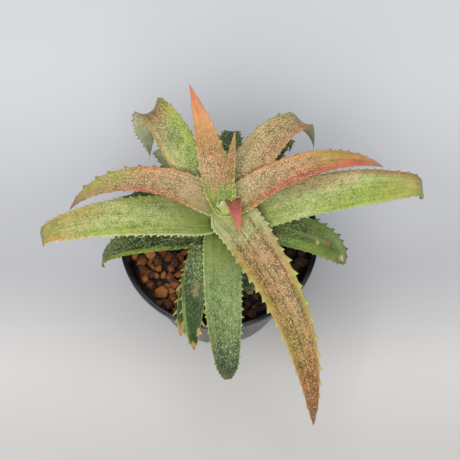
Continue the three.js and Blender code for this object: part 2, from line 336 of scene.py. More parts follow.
def tube_mesh(name, rings):
    """A closed mesh from a grid of rings in millimetres."""
    return faces_to_mesh(name, *tube_shape(rings))


print("mesh helpers are ready")

# %% [markdown]
# A mesh also carries values at its points, which a material reads by their names. Each finished
# piece rides on the one body of the frame, gets its material, and takes the place of the plain
# solids that it covers.

# %% Store values and dress the pieces
KINDS = {"tint": ("FLOAT_COLOR", "color"), "place": ("FLOAT_VECTOR", "vector")}


def with_ends(grid, point):
    """A grid's values one by one, then a ring point's values for the two fans' middles."""
    flat = grid.reshape(grid.shape[0] * grid.shape[1], -1)
    return np.concatenate([flat, grid[[0, -1], point].reshape(2, -1)])


def store(mesh, **fields):
    """Keeps a tint, a place or a number at each point, for the material to read."""
    for name, values in fields.items():
        kind, part = KINDS.get(name, ("FLOAT", "value"))
        if name == "tint":
            values = np.column_stack([values, np.ones(len(values))])
        attribute = mesh.attributes.new(name, kind, "POINT")
        attribute.data.foreach_set(part, np.asarray(values, np.float32).ravel())


def store_grid(mesh, point, **grids):
    """Keeps grids of values, where the fans' middles take those of one ring point."""
    store(mesh, **{name: with_ends(grid, point) for name, grid in grids.items()})


def dress(name, mesh, material, slot, *nodes):
    """Makes the piece, lets it ride with the pot, and hides the plain solids it covers."""
    piece = new_object(name, mesh)
    mesh.materials.append(material)
    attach(piece, "root")
    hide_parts(*nodes)
    return piece


print("fields of their own kind:", list(KINDS))

# %% [markdown]
# ## Speckle, streaks and lines
#
# Leaves of these plants carry tiny silver scales that drink dew, with darker skin
# between them. From arm's length they read as a fine speckle: pale dots and dark flecks,
# drawn out a little along the leaf. Veins show as long faint streaks and here and there
# as a thin dark broken line. Every leaf material uses these effects, so each is a group.

# %% Build the groups for speckle, streaks and lines
speckle_group, enter, leave = new_group(
    "leaf speckle", {"Size": 1.0}, ["Flecks", "Dots", "Height", "Patches", "Cells"]
)
tree = speckle_group
lined_up = scaled(tree, enter["Place"], (0.72, 1.1, 1.0))
density = calculate(tree, "DIVIDE", 1.0, enter["Size"])
grain = noise(tree, lined_up, times(tree, density, 1.5), 2.0, 0.6)
shaken = add(tree, "VectorMath", {0: grain, 1: lined_up}, operation="ADD").outputs[0]
scales = add(tree, "TexVoronoi", {"Vector": shaken, "Scale": density}).outputs
cell = add(tree, "SeparateColor", {0: scales[1]}).outputs
patches = noise(tree, enter["Place"], times(tree, density, 0.16), 3.0, 0.6)
sway = spread(tree, patches, 0.3, 0.7, -0.1, 0.1)
bare = calculate(tree, "SUBTRACT", cell[0], sway)
dots = spread(tree, scales[0], 0.46, 0.24)
between = spread(tree, scales[0], 0.36, 0.58)
specks = spread(tree, calculate(tree, "ADD", grain, sway), 0.58, 0.42)
feed(tree, leave, {
    "Dots": times(tree, dots, spread(tree, bare, 0.95, 0.65)),
    "Flecks": times(tree, between, specks),
    "Height": calculate(tree, "ADD", dots, grain),
    "Patches": patches,
    "Cells": cell[1],
})

streaks_group, enter, leave = new_group(
    "long streaks", {"Strand": 0.0, "Spacing": 1.0}, ["Streaks"]
)
tree = streaks_group
parts = add(tree, "SeparateXYZ", {0: enter["Place"]}).outputs
slow, aside = times(tree, parts[0], 0.05), times(tree, enter["Strand"], 12.0)
drawn_out = add(tree, "CombineXYZ", {0: slow, 1: aside, 2: parts[2]}).outputs[0]
density = calculate(tree, "DIVIDE", 1.0, enter["Spacing"])
feed(tree, leave, {"Streaks": noise(tree, drawn_out, density, 2.0, 0.6)})

line_group, enter, leave = new_group(
    "dark line", {"Strand": 0.0, "At": 0.0, "Drift": 0.0, "Width": 0.05}, ["Line"]
)
tree = line_group
parts = add(tree, "SeparateXYZ", {0: enter["Place"]}).outputs
course = calculate(tree, "ADD", times(tree, parts[0], enter["Drift"]), enter["At"])
sway = noise(tree, scaled(tree, enter["Place"], (0.12, 0.0, 1.0)), 1.0, 2.0)
course = calculate(tree, "ADD", course, spread(tree, sway, 0.2, 0.8, -0.07, 0.07))
gap = calculate(tree, "ABSOLUTE", calculate(tree, "SUBTRACT", enter["Strand"], course))
away = calculate(tree, "DIVIDE", gap, enter["Width"])
near = calculate(tree, "SUBTRACT", 1.0, away, clamp=True)
broken = noise(tree, scaled(tree, enter["Place"], (0.5, 1.2, 1.0)), 0.9, 2.0)
feed(tree, leave, {"Line": times(tree, near, spread(tree, broken, 0.38, 0.56))})
print("groups:", [g.name for g in bpy.data.node_groups])

# %% [markdown]
# ## Leaf skin
#
# A leaf is a thick, slightly waxy skin. Its colour runs from a pale base over green or
# orange to a burnt tip, and the margins have colours of their own. Painting that into
# the mesh point by point is simplest: the mesh carries a tint, and how much down lies
# there. The material adds the speckle, the streaks, the lines and the fine relief.

# %% Make the leaf materials
COOLER, WARMER = (0.90, 1.02, 0.84, 1), (1.16, 1.08, 1.0, 1)
COOL_CELL, WARM_CELL = (0.84, 0.94, 0.78, 1), (1.26, 1.14, 1.10, 1)
LINE_COLOUR = paint(112, 130, 92)
VEINS = 0.35
FIELDS = (("tint", "Color"), ("down", "Fac"), ("place", "Vector"), ("strand", "Fac"))


def leaf_skin(name, size, fleck, dot, depth, shine, gloss, lines=()):
    """Tint times the fleck colour on dark flecks, tint mixed with the dot colour on dots."""
    material, tree, shader = new_material(name)
    tint, down, place, strand = (
        add(tree, "Attribute", attribute_name=field).outputs[kind] for field, kind in FIELDS
    )
    fleck = paint(*fleck)
    where = {"Place": place, "Strand": strand}
    values = {"Place": place, "Size": size}
    speckle = add(tree, "Group", values, node_tree=speckle_group).outputs
    values = {**where, "Spacing": 1.5}
    streaks = add(tree, "Group", values, node_tree=streaks_group).outputs[0]
    warm = spread(tree, speckle["Patches"], 0.36, 0.64)
    skin = blend(tree, 1.0, tint, blend(tree, warm, COOLER, WARMER), "MULTIPLY")
    motley = blend(tree, speckle["Cells"], COOL_CELL, WARM_CELL)
    skin = blend(tree, down, skin, blend(tree, 1.0, skin, motley, "MULTIPLY"))
    ribs = spread(tree, streaks, 0.42, 0.66, 0.0, VEINS)
    skin = blend(tree, ribs, skin, fleck, "MULTIPLY")
    dark = times(tree, speckle["Flecks"], down, depth)
    skin = blend(tree, dark, skin, fleck, "MULTIPLY")
    light = times(tree, speckle["Dots"], down, shine)
    skin = blend(tree, light, skin, paint(*dot))
    for at, drift, width in lines:
        values = {**where, "At": at, "Drift": drift, "Width": width}
        line = add(tree, "Group", values, node_tree=line_group).outputs[0]
        skin = blend(tree, times(tree, line, down), skin, LINE_COLOUR, "MULTIPLY")
    rough = spread(tree, light, 0.0, shine, gloss, gloss + 0.25)
    scale_height = times(tree, speckle["Height"], down)
    relief = calculate(tree, "ADD", scale_height, times(tree, streaks, 0.8))
    coat(tree, shader, skin, rough, relief, 0.7, 0.3)
    shader.inputs["Specular IOR Level"].default_value = 0.25
    return material


SKINS = {
    "green": leaf_skin("green leaf skin", 0.76, (146, 154, 84), (248, 248, 210), 0.72, 0.5, 0.45),
    "orange": leaf_skin("burnt leaf skin", 0.8, (136, 120, 80), (255, 236, 212), 0.8, 0.56, 0.42),
    "long": leaf_skin(
        "long leaf skin", 0.92, (108, 118, 66), (252, 206, 160), 0.85, 0.46, 0.42,
        lines=((-0.58, 0.0, 0.05), (0.44, 0.0032, 0.12), (-0.12, 0.0004, 0.06)),
    ),
    "red": leaf_skin("heart leaf skin", 1.2, (214, 150, 150), (246, 196, 186), 0.5, 0.2, 0.35),
    "frosted": leaf_skin(
        "frosted leaf skin", 0.68, (84, 120, 60), (218, 230, 200), 0.75, 0.48, 0.55
    ),
    "dark": leaf_skin("dark leaf skin", 0.98, (100, 124, 76), (188, 204, 162), 0.85, 0.6, 0.6),
}
SLOT_OF_SKIN = {
    "green": "leaf_green", "frosted": "leaf_green", "orange": "leaf_orange",
    "long": "leaf_orange", "red": "leaf_red", "dark": "leaf_dark",
}
print("leaf materials:", list(SKINS))

# %% [markdown]
# ## Leaf colours
#
# Sun and age turn the green of these leaves to ochre, orange and red. The colours have
# plain names, as in a paint box, so that a leaf's table can be read.

# %% Name the colours
PAINT = dict(
    cream=(206, 200, 150), ivory=(212, 200, 176), straw=(190, 160, 104), dry=(150, 116, 80),
    pear=(184, 194, 134), spring=(178, 187, 120), celery=(164, 174, 100), lime=(158, 176, 78),
    sheath=(176, 172, 128), leaf=(122, 146, 70), fresh=(146, 158, 94), vivid=(134, 164, 54),
    frost=(132, 150, 96), sage=(110, 126, 84), mustard=(172, 164, 96), khaki=(168, 168, 88),
    olive=(150, 146, 84), ochre=(176, 146, 88), honey=(184, 154, 84), brass=(162, 136, 74),
    amber=(182, 134, 84), tan=(178, 150, 108), sand=(192, 168, 130), fawn=(190, 156, 122),
    salmon=(186, 142, 106), burnt=(160, 122, 78), orange=(192, 148, 90), apricot=(208, 152, 98),
    coral=(210, 116, 88), blush=(228, 152, 124), rust=(160, 108, 70), brown=(140, 100, 76),
    red=(190, 104, 76), crimson=(162, 86, 84), rose=(190, 122, 112), deep=(56, 72, 30),
    dark=(84, 97, 54), moss=(106, 122, 66), wet=(40, 66, 20), dull=(146, 146, 118),
    pale=(206, 208, 178), dim=(100, 110, 84),
)
PAINT_GAIN = 0.88
LINEAR = {name: PAINT_GAIN * linear(colour) for name, colour in PAINT.items()}
print(len(PAINT), "colours")

# %% [markdown]
# A leaf's paint is given in lanes that run from base to tip: one on each margin and one
# or more between. A lane is a text of pairs such as "0 sand .5 red": how far along the
# leaf, and the colour there. Between lanes and between places along a lane the colours
# blend. A wash of a few lanes is enough, because the speckle breaks it up.


# %% Read the lanes and blend them
def columns(text):
    """Splits a text of pairs, such as '0 sand .5 red', into its places and its values."""
    words = text.split()
    return [float(word) for word in words[::2]], words[1::2]


def rows_at(s, places, table):
    """The rows of a table looked up at each s, with a blend between two places."""
    return np.stack([np.interp(s, places, column) for column in np.transpose(table)], -1)


def number_at(text, s):
    """The number at each s in a text of pairs such as '0 .4 1 .2'."""
    places, values = columns(text)
    return np.interp(s, places, np.array(values, float))


def lane_colours(text, s):
    """The colour at each s along a lane."""
    places, names = columns(text)
    return rows_at(s, places, [LINEAR[name] for name in names])


def lanes_to_tint(leaf, s, v):
    """Blends the lanes across the leaf, -1 on the right and 1 on the left, then the margins."""
    lanes = leaf["lanes"]
    tones = np.stack([lane_colours(text, s) for text in lanes.values()])
    at = np.interp(v, list(lanes), np.arange(len(lanes)))
    low = np.minimum(at.astype(int), len(lanes) - 2)
    rows, cols = np.indices(s.shape)
    part = smooth_step(at - low, 0, 1)[:, :, None]
    body = mix(tones[low, rows, cols], tones[low + 1, rows, cols], part)
    right = lane_colours(leaf["right"], s)
    left = lane_colours(leaf["left"], s) if "left" in leaf else right
    rim = np.where(v[:, :, None] > 0, left, right)
    return mix(body, rim, smooth_step(np.abs(v), leaf["edge"], 0.99)[:, :, None])


print("a lane halfway from sand to red:", lane_colours("0 sand 1 red", 0.5).round(3))

# %% [markdown]
# ## The line that a leaf follows
#
# Each leaf grows from the stem as a clasping sheath, turns outward and arches over. Its
# heading and slope are simple rules of the way along it, as in the plain solid: the
# slope falls off with a power of that way, and where a leaf is folded it drops fast
# within a short stretch. The sheath isn't in the plain solid's rule, so a smooth curve
# joins the stem's side to the blade.
#
# The defaults hold where a leaf's table says nothing else. Reach, offset and bulge move
# the blade's start; join, clasp, drop, hug, flare and shoulder shape the sheath; pitch,
# hook, broad and end shape the teeth; edge, bare, bright and under steer the paint.

# %% Work out the centreline of a leaf
STEM_AXIS = np.array((3.0, 0.0))
ROW_STEP = 0.36
LEAF_DEFAULTS = dict(
    reach=4, turn=0, turn_power=1, droop_power=1.3, fold=(0, 0.8, 0.12), twist=(0, 0.8, 0.3),
    taper=(2.2, 0.9), sheath=0.8, gutter="0 .18", cut=1, offset=(0, 0), bulge=(0, 0, 0),
    thickness=1.9, join=8, clasp=1, drop=11, hug=5.4, flare=0.05, shoulder=0, sheath_turn=0,
    ripple=0.25, pitch=6.3, hook=0.6, broad=1.2, end=0.97, edge=0.84, bare=0.3, bright=1,
    skin="orange", under="dull", marks=(),
)


def blade_angles(leaf, s):
    """Slope and heading in radians: the rise less the droop and the fold; the turn."""
    angle, place, stretch = leaf["fold"]
    bent = angle * step_at(s, place, stretch)
    slope = leaf["rise"] - leaf["droop"] * s ** leaf["droop_power"] - bent
    heading = leaf["azimuth"] + leaf["turn"] * s ** leaf["turn_power"]
    return np.radians(slope), np.radians(heading)


def direction(slope, heading):
    """A unit vector from a slope above the horizon and a heading from +X."""
    flat = np.cos(slope)
    return np.stack([flat * np.cos(heading), flat * np.sin(heading), np.sin(slope)], -1)


def bridge(u, start, end, leaving, arriving):
    """A cubic curve from start to end with the given directions at its two ends:

    (2u^3 - 3u^2 + 1) start + (3u^2 - 2u^3) end + (u^3 - 2u^2 + u) leaving
    + (u^3 - u^2) arriving.
    """
    line = (2 * u**3 - 3 * u**2 + 1) * start + (u**3 - 2 * u**2 + u) * leaving
    return line + (3 * u**2 - 2 * u**3) * end + (u**3 - u**2) * arriving


def blade_line(leaf, s):
    """Points along the blade: the start plus the sum of small steps in its direction."""
    steps = 1200
    middle = (np.arange(steps) + 0.5) / steps
    walk = np.cumsum(direction(*blade_angles(leaf, middle)), 0) * leaf["length"] / steps
    walk = np.concatenate([np.zeros((1, 3)), walk])
    out = leaf["reach"] * direction(0, math.radians(leaf["azimuth"]))[:2]
    start = np.array((*(STEM_AXIS + leaf["offset"] + out), leaf["base"]))
    points = start + rows_at(s, np.linspace(0, 1, steps + 1), walk)
    near = 1 - smooth_step(s * leaf["length"], 6, 34)
    return points + near[:, None] * np.array(leaf["bulge"])


def sheath_line(leaf, join, rows):
    """A cubic curve from the stem's side, going up, to the blade at the join."""
    u = np.linspace(0, 1, rows)[:, None]
    slope, heading = blade_angles(leaf, np.array([join]))
    end = blade_line(leaf, np.array([join]))[0]
    facing = heading[0] + math.radians(leaf["sheath_turn"])
    out = direction(0, facing)[:2]
    start = np.array((*(STEM_AXIS + leaf["hug"] * out), end[2] - leaf["drop"]))
    size = 1.15 * np.linalg.norm(end - start)
    leaving = size * np.array((*(leaf["flare"] * out), 1.0))
    arriving = size * direction(slope, heading)[0]
    headings = mix(facing, heading[0], smooth_step(u[:, 0], 0, 1))
    return bridge(u, start, end, leaving, arriving), headings


print("rows are", ROW_STEP, "mm apart")

# %% [markdown]
# ## The section of a leaf
#
# Cut across, a blade is a thin lens bent into a shallow gutter. Near the stem the gutter
# closes round the stem like a collar. If a sheath follows a funnel round the stem's
# axis, its section bends by the sine of the slope over the distance from the axis, so
# that is the rule near the base, and the blade's own hollow is the rule further out.

# %% Work out half the width and the bend of the section
SMALLEST_COLLAR = 3.4
WIDEST_WRAP = 2.8


def half_widths(leaf, s):
    """Half the width: one minus a power of s, to a power, and a narrower base."""
    power, exponent = leaf["taper"]
    outline = np.clip(1 - s**power, 0, 1) ** exponent
    base = mix(leaf["sheath"], 1, np.clip(s / 0.12, 0, 1) ** 0.7)
    return leaf["width"] / 2 * outline * base


def margin_angles(leaf, s, points, tangents, half):
    """How far the section has turned by its margin, and half the width that this allows."""
    reach = np.hypot(*(points[:, :2] - STEM_AXIS).T)
    radius = np.maximum(reach, SMALLEST_COLLAR) / np.clip(tangents[:, 2], 0.05, 1)
    half = np.minimum(half, WIDEST_WRAP * radius)
    collar = half / radius * smooth_step(reach, 30, 14)
    gutter = 2 * number_at(leaf["gutter"], s)
    return (collar**3 + gutter**3) ** (1 / 3), half


print("a sheath wraps at most", WIDEST_WRAP, "radians to each side")

# %% [markdown]
# ## Teeth
#
# The margins are saws. Near the base the teeth are tiny and close together, further out
# they stand about 6 mm apart, broad at the foot and hooked towards the tip. Each tooth
# is a short rise and a quick fall of the margin, and its point leans forward. The teeth
# are placed one by one with a seeded generator, so no two are quite the same.

# %% Place the teeth and work out the margin
FINEST_PITCH = 1.9
FIRST_TOOTH = 1.0
FALL = 0.3
TOOTH_DIP = 0.15


def tooth_places(leaf, tallest, length, dice):
    """The way along the margin, height and foot of each tooth, from base to tip."""
    places = []
    way = FIRST_TOOTH
    while way < length * leaf["end"]:
        grown = smooth_step(way / length, 0.02, 0.38)
        gap = (FINEST_PITCH + (leaf["pitch"] - FINEST_PITCH) * grown) * dice.uniform(0.78, 1.22)
        size = tallest * (0.45 + 0.55 * grown) * dice.uniform(0.6, 1.15)
        way += gap
        places.append((way, size, min(0.8 * gap, 0.7 + leaf["broad"] * size)))
    return np.array(places)


def margin_teeth(leaf, tallest, ways, half, dice):
    """At each row: height of the margin's teeth, their forward lean, and how much tooth."""
    teeth = tooth_places(leaf, tallest, ways[-1], dice)
    u = (ways[:, None] - teeth[None, :, 0]) / teeth[None, :, 2]
    shape = np.where(u < 0, np.clip(1 + u, 0, 1) ** 1.8, np.clip(1 - u / FALL, 0, 1))
    room = np.clip(half / (0.3 * leaf["width"]), 0, 1) ** 0.8
    best = (shape * teeth[None, :, 1]).argmax(1)
    shape = shape[np.arange(len(ways)), best]
    height = shape * teeth[best, 1] * room
    return height, shape * height * leaf["hook"], shape * (teeth[best, 1] > 0)


def wander(ways, dice, longest, count=5):
    """A gentle random wave: the sum of a few sines of falling size."""
    total = np.zeros_like(ways)
    for k in range(1, count + 1):
        total += np.sin(2 * np.pi * k * ways / longest + dice.uniform(0, 6.3)) / k**1.2
    return total / 1.8


print("the finest teeth stand", FINEST_PITCH, "mm apart")

# %% [markdown]
# ## Marks on a leaf
#
# Real leaves have scars, bare stripes and dry spots. A mark is an oval patch with a soft
# uneven edge, given by its place along and across the leaf, half its length and half its
# width, its colour, how strong it is and how much down stays on it.


# %% Paint marks
def add_marks(leaf, tint, down, along, across, length, half, upper):
    """Mixes each mark's colour into the tint where its oval reaches, and thins the down."""
    rough = 0.25 * np.sin(along * 1.9 + across * 0.7) + 0.2 * np.sin(across * 2.3 - along)
    for s, v, long, wide, colour, strength, left in leaf["marks"]:
        far = ((along - s * length) / long) ** 2 + ((across - v * half) / wide) ** 2
        cover = strength * smooth_step(np.sqrt(far) + rough * 0.5, 1.25, 0.6) * upper
        tint = mix(tint, LINEAR[colour], cover[..., None])
        down = down * (1 - cover * (1 - left))
    return tint, down


print("marks are ready")

# %% [markdown]
# ## Putting a leaf together
#
# The ring of each row starts at the left margin, goes over the top to the right margin
# and comes back below. A cosine spaces its points, so that they crowd at the margins,
# where the teeth need them.

# %% Work out a leaf's surface
RING = 36
RING_TOP = RING // 4
SHEATH_ROWS = 26
SHEATH_HALF = 10.0
TEETH_FROM = 0.8
RIPPLE_LENGTHS = (34, 41)
PATTERN_APART = 40.0


def leaf_rings(leaf, seed):
    """The grid of a leaf's surface, with the way along, the way across and the teeth."""
    dice = np.random.default_rng(seed)
    length = leaf["length"]
    join = leaf["join"] / length
    s = np.linspace(join, leaf["cut"], int((1 - join) * length / ROW_STEP))
    sheath, sheath_heading = sheath_line(leaf, join, SHEATH_ROWS)
    heading = np.concatenate([sheath_heading[:-1], blade_angles(leaf, s)[1]])
    points = np.concatenate([sheath[:-1], blade_line(leaf, s)])
    tangents = np.gradient(points, axis=0)
    tangents /= np.linalg.norm(tangents, axis=1, keepdims=True)
    steps = np.linalg.norm(np.diff(points, axis=0), axis=1)
    ways = np.concatenate([[0], np.cumsum(steps)])
    s = np.concatenate([np.linspace(-join, join, SHEATH_ROWS)[:-1], s])
    up = np.clip((s + join) / (2 * join), 0, 1)
    below = 1 - smooth_step(up, leaf["shoulder"], 1)
    half = mix(half_widths(leaf, np.clip(s, join, 1)), SHEATH_HALF * leaf["clasp"], below)
    bend, half = margin_angles(leaf, s, points, tangents, half)

    across = np.stack([-np.sin(heading), np.cos(heading), 0 * heading], -1)
    out = np.cross(tangents, across)
    twist, place, stretch = leaf["twist"]
    roll = np.radians(twist) * step_at(s, place, stretch)
    cos, sin = np.cos(roll)[:, None], np.sin(roll)[:, None]
    across, out = across * cos + out * sin, out * cos - across * sin

    angle = round_angles(RING)
    v = np.cos(angle)[None, :]
    lens = np.sign(np.sin(angle)) * np.abs(np.sin(angle)) ** 0.8
    tip = np.clip((1 - s) * 6, 0.25, 1)
    lift = leaf["thickness"] / 2 * lens[None, :] * tip[:, None]
    half = half * (1 + 0.02 * wander(ways, dice, 60))
    turn = bend[:, None] * v
    sideways = half[:, None] * np.sin(turn) / bend[:, None] - np.sin(turn) * lift
    rise = half[:, None] * (1 - np.cos(turn)) / bend[:, None] + np.cos(turn) * lift
    waves = [wander(ways, dice, longest)[:, None] for longest in RIPPLE_LENGTHS]
    free = smooth_step(s, 0.05, 0.3)[:, None]
    rise = rise + leaf["ripple"] * np.where(v > 0, *waves) * np.abs(v) ** 2.5 * free

    edge = np.clip((np.abs(v) - TEETH_FROM) / (1 - TEETH_FROM), 0, 1) ** 2
    margins = [margin_teeth(leaf, tallest, ways, half, dice) for tallest in leaf["teeth"]]
    height, lean, tooth = (
        np.where(v > 0, left[:, None], right[:, None]) * edge for left, right in zip(*margins)
    )
    sideways = sideways + np.sign(v) * np.cos(turn) * height
    rise = rise + (np.abs(np.sin(turn)) - TOOTH_DIP) * height
    rings = points[:, None] + across[:, None] * sideways[..., None]
    rings = rings + out[:, None] * rise[..., None] + tangents[:, None] * lean[..., None]
    return rings, ways, s, half, v, np.sin(angle)[None, :], tooth, dice


print(RING, "points round each row,", SHEATH_ROWS, "rows in a sheath")

# %% [markdown]
# The paint follows from where a point lies on the leaf. The down thins out towards the
# margins, the underside has a colour of its own, and every tooth ends in a thorn. A
# small warp keeps the bands of colour from looking ruled.


# %% Paint a leaf and make its mesh
def build_leaf(name, leaf, seed):
    """Makes the mesh of one leaf and paints its tint, its down and its pattern's place."""
    rings, ways, s, half, v, side, tooth, dice = leaf_rings(leaf, seed)
    grid = np.zeros(rings.shape[:2])
    s = np.clip(s, 0, 1)[:, None] + grid
    v = v + grid
    warp = 0.03 * wander(ways, dice, 50)[:, None] + 0.02 * np.sin(3 * v + seed)
    tint = lanes_to_tint(leaf, np.clip(s + warp, 0, 1), v)
    down = number_at(leaf["down"], s) * (1 - leaf["bare"] * smooth_step(np.abs(v), 0.6, 0.88))
    upper = (side > -0.02).astype(float) + grid
    along = ways[:, None] + grid
    half = half[:, None]
    tint, down = add_marks(leaf, tint, down, along, half * v, ways[-1], half, upper)
    lower = (0.7 * smooth_step(-side, 0.05, 0.3) + grid)[..., None]
    tint = mix(tint, LINEAR[leaf["under"]], lower) * leaf["bright"]
    thorn = np.clip(tooth * 1.4, 0, 1)
    grown = smooth_step(s, 0.1, 0.3)[..., None]
    tint = mix(tint, mix(LINEAR["cream"], LINEAR[leaf["thorn"]], grown), thorn[..., None])
    apart = PATTERN_APART * seed + 9.0 * (side < 0) + grid
    place = np.stack([along, half * v, apart], -1)
    mesh = tube_mesh(name + "_skin", rings)
    store_grid(mesh, RING_TOP, tint=tint, down=down * (1 - thorn), strand=v, place=place)
    skin = leaf["skin"]
    return dress(name + "_skin", mesh, SKINS[skin], SLOT_OF_SKIN[skin], name)


print("ready to build leaves")

# %% [markdown]
# ## The heart leaves
#
# Three young leaves stand in the middle. The tall one rises out of a small cup of
# sheaths. The crimson one bends forward over it.
#
# Each leaf is described by its azimuth, the height of its base, its length, its width,
# and how steeply it rises and droops, angles in degrees. What differs from the defaults
# above is named: among others the fold (angle, place, stretch), the taper's two powers,
# the heights of the left and right teeth, and the paint.

# %% Describe the heart leaves
LEAVES = {}


def grow(name, azimuth, base, length, width, rise, droop, like=LEAF_DEFAULTS, **rules):
    """Notes the rules of one leaf: the defaults, then those of its kind, then its own."""
    first = dict(azimuth=azimuth, base=base, length=length, width=width, rise=rise, droop=droop)
    LEAVES[name] = {**LEAF_DEFAULTS, **like, **first, **rules}


grow(
    "leaf_heart_red", 280, 114, 30, 11, 80, 125, reach=0, offset=(5, 5.2), droop_power=0.8,
    taper=(1.3, 0.9), thickness=1.4, teeth=(0.2, 0.2), skin="red", thorn="rose", under="spring",
    join=4, ripple=0.05, clasp=0.6, hug=4.5, drop=6, pitch=3,
    right="0 spring .15 crimson .3 crimson .7 red .85 rose 1 sand",
    left="0 spring .15 crimson .3 red .7 red .85 rose 1 sand",
    lanes={
        -0.6: "0 spring .15 crimson .5 crimson .75 red .88 rose 1 sand",
        0: "0 spring .15 crimson .3 rose .5 crimson .8 rose 1 sand",
        0.6: "0 spring .15 crimson .4 crimson .7 red .88 rose 1 sand",
    },
    gutter="0 .05 .5 .15 1 .2",
    down="0 .6 1 .4",
)
grow(
    "leaf_heart_spike", 78, 116, 46, 10, 50, 0, reach=2, taper=(1.6, 1), thickness=1.4,
    teeth=(0.9, 0.9), join=4, hug=3.5, thorn="lime", clasp=0.45, drop=7,
    right="0 vivid .2 lime .35 khaki .6 honey 1 straw",
    lanes={
        -0.6: "0 leaf .18 vivid .3 brass .5 burnt .7 burnt 1 straw",
        0: ".14 leaf .25 olive .4 burnt .7 rust 1 straw",
        0.6: ".18 leaf .28 ochre .5 amber .7 burnt 1 straw",
    },
    down="0 .5 .2 .8 .6 .8 1 .2",
)
grow(
    "leaf_heart_tall", 106, 114, 73, 21, 50, 20, turn=7, reach=3, taper=(1.75, 1), thickness=1.8,
    teeth=(1.7, 1.2), thorn="sand", join=8, clasp=0.95, hug=4.4, drop=11, pitch=5.6, shoulder=0.2,
    flare=0.1,
    right="0 lime .15 khaki .3 brass .5 ochre .7 orange 1 coral",
    left=".12 lime .2 khaki .33 honey .6 amber .8 apricot 1 coral",
    lanes={
        -0.7: "0 lime .1 khaki .2 brass .33 burnt .5 amber .68 apricot .84 coral",
        -0.2: "0 lime .1 khaki .2 ochre .33 salmon .5 amber .68 apricot .84 blush 1 coral",
        0.3: "0 lime .08 khaki .17 tan .33 fawn .5 amber .7 orange .82 coral",
        0.8: ".12 lime .2 mustard .33 fawn .5 amber .75 apricot 1 coral",
    },
    down="0 .2 .1 .5 .25 1 .45 .9 .6 .3 .85 .1 1 .05",
)
print("heart leaves:", list(LEAVES))

# %% [markdown]
# ## The orange leaves
#
# The full grown leaves that get the most sun turn orange and pink, with yellow or red
# margins.

# %% Describe the orange leaves
grow(
    "leaf_left_orange", 158, 112, 104, 21, 41, 106, turn=40, droop_power=1.2, taper=(1.9, 0.9),
    teeth=(1.1, 2.4), thorn="burnt", pitch=8.4,
    right="0 sheath .15 tan .28 apricot .48 coral .6 khaki .85 khaki 1 salmon",
    left="0 celery .15 salmon .25 red .45 red .58 burnt .75 honey 1 salmon",
    lanes={
        -0.7: "0 sheath .15 sand .3 fawn .45 apricot .6 mustard .8 khaki .92 tan 1 salmon",
        0: "0 sheath .15 sand .33 sand .48 fawn .62 mustard .8 honey .92 salmon",
        0.6: "0 sheath .17 sand .33 salmon .48 salmon .62 tan .8 tan .92 salmon 1 red",
        0.85: "0 celery .15 tan .28 salmon .48 red .62 tan .8 ochre .92 salmon 1 red",
    },
    down="0 .4 .15 .7 .3 1 .6 .8 .75 .5 1 .2",
)
grow(
    "leaf_right_orange", 30, 110, 106, 20, 35, 82, turn=-24, droop_power=1.2, teeth=(1.2, 0.9),
    thorn="amber",
    right="0 celery .15 ochre .22 amber .35 red .6 red .8 coral",
    left="0 sand .12 tan .22 apricot .45 coral .6 honey .8 orange 1 coral",
    lanes={
        -0.75: "0 sheath .15 amber .33 red .5 red .65 coral .8 coral .9 blush",
        -0.3: "0 sheath .17 tan .33 salmon .45 apricot .55 amber .65 orange .8 coral .9 blush",
        0.3: "0 sheath .17 sand .33 fawn .5 salmon .62 honey .8 orange .9 blush",
        0.8: "0 sheath .17 sand .3 salmon .45 apricot .52 orange .62 honey .8 orange .9 blush",
    },
    down="0 .6 .15 .9 .42 1 .56 .45 .8 .15 1 .1",
)
grow(
    "leaf_front_long", 309, 107, 140, 28, 10, 72, turn=-34, turn_power=1.1, droop_power=1.2,
    taper=(1.8, 0.9), sheath=1, thickness=2.1, teeth=(2.4, 2.2), clasp=1.5, skin="long",
    thorn="spring", pitch=8.2, broad=1.6, join=3, hug=7.0, sheath_turn=-35, shoulder=0.35, drop=9,
    bulge=(0, 1.0, 4.8), bare=0.8, bright=0.92,
    right="0 pear .1 cream .18 ochre .35 honey .6 honey .75 amber .85 rust 1 brown",
    left="0 pear .15 sheath .25 ochre .38 khaki .52 khaki .65 ochre .8 rust 1 brown",
    lanes={
        -0.85: "0 pear .1 sheath .17 ochre .33 honey .5 brass .65 brass .77 rust 1 brown",
        -0.45: "0 pear .1 sheath .17 tan .33 salmon .48 brass .65 brass .77 rust 1 brown",
        0.1: "0 pear .04 sheath .08 cream .12 sand .17 fawn .33 fawn .48 tan .62 ochre .77 rust "
            "1 brown",
        0.6: "0 pear .07 sheath .13 sand .2 fawn .33 salmon .48 tan .62 amber .77 rust 1 brown",
        0.85: "0 pear .12 sheath .25 tan .4 honey .55 honey .68 amber .8 rust 1 brown",
    },
    down="0 .25 .05 .4 .14 .9 .25 1 .7 1 .9 .7 1 .4",
)
grow(
    "leaf_back_right", 62, 103, 116, 25, 36, 66, turn=-65, turn_power=1.5, droop_power=1.5,
    fold=(62, 0.58, 0.22), taper=(2.9, 2.2), teeth=(1.3, 0.9), thorn="olive",
    twist=(-75, 0.68, 0.16), under="dull",
    right="0 celery .17 tan .33 salmon .5 amber .62 coral .72 dull",
    left="0 celery .17 ochre .33 amber .42 khaki .58 khaki .7 dull",
    lanes={
        -0.7: "0 fresh .15 sand .33 salmon .48 salmon .6 apricot .72 dull",
        0: ".12 fresh .2 tan .48 tan .58 sand .66 sand .74 dull",
        0.6: ".15 fresh .25 frost .33 sand .48 tan .6 mustard .72 dull",
    },
    down="0 .6 .2 1 .6 1 .75 .4 1 .3",
)
print("leaves so far:", len(LEAVES))

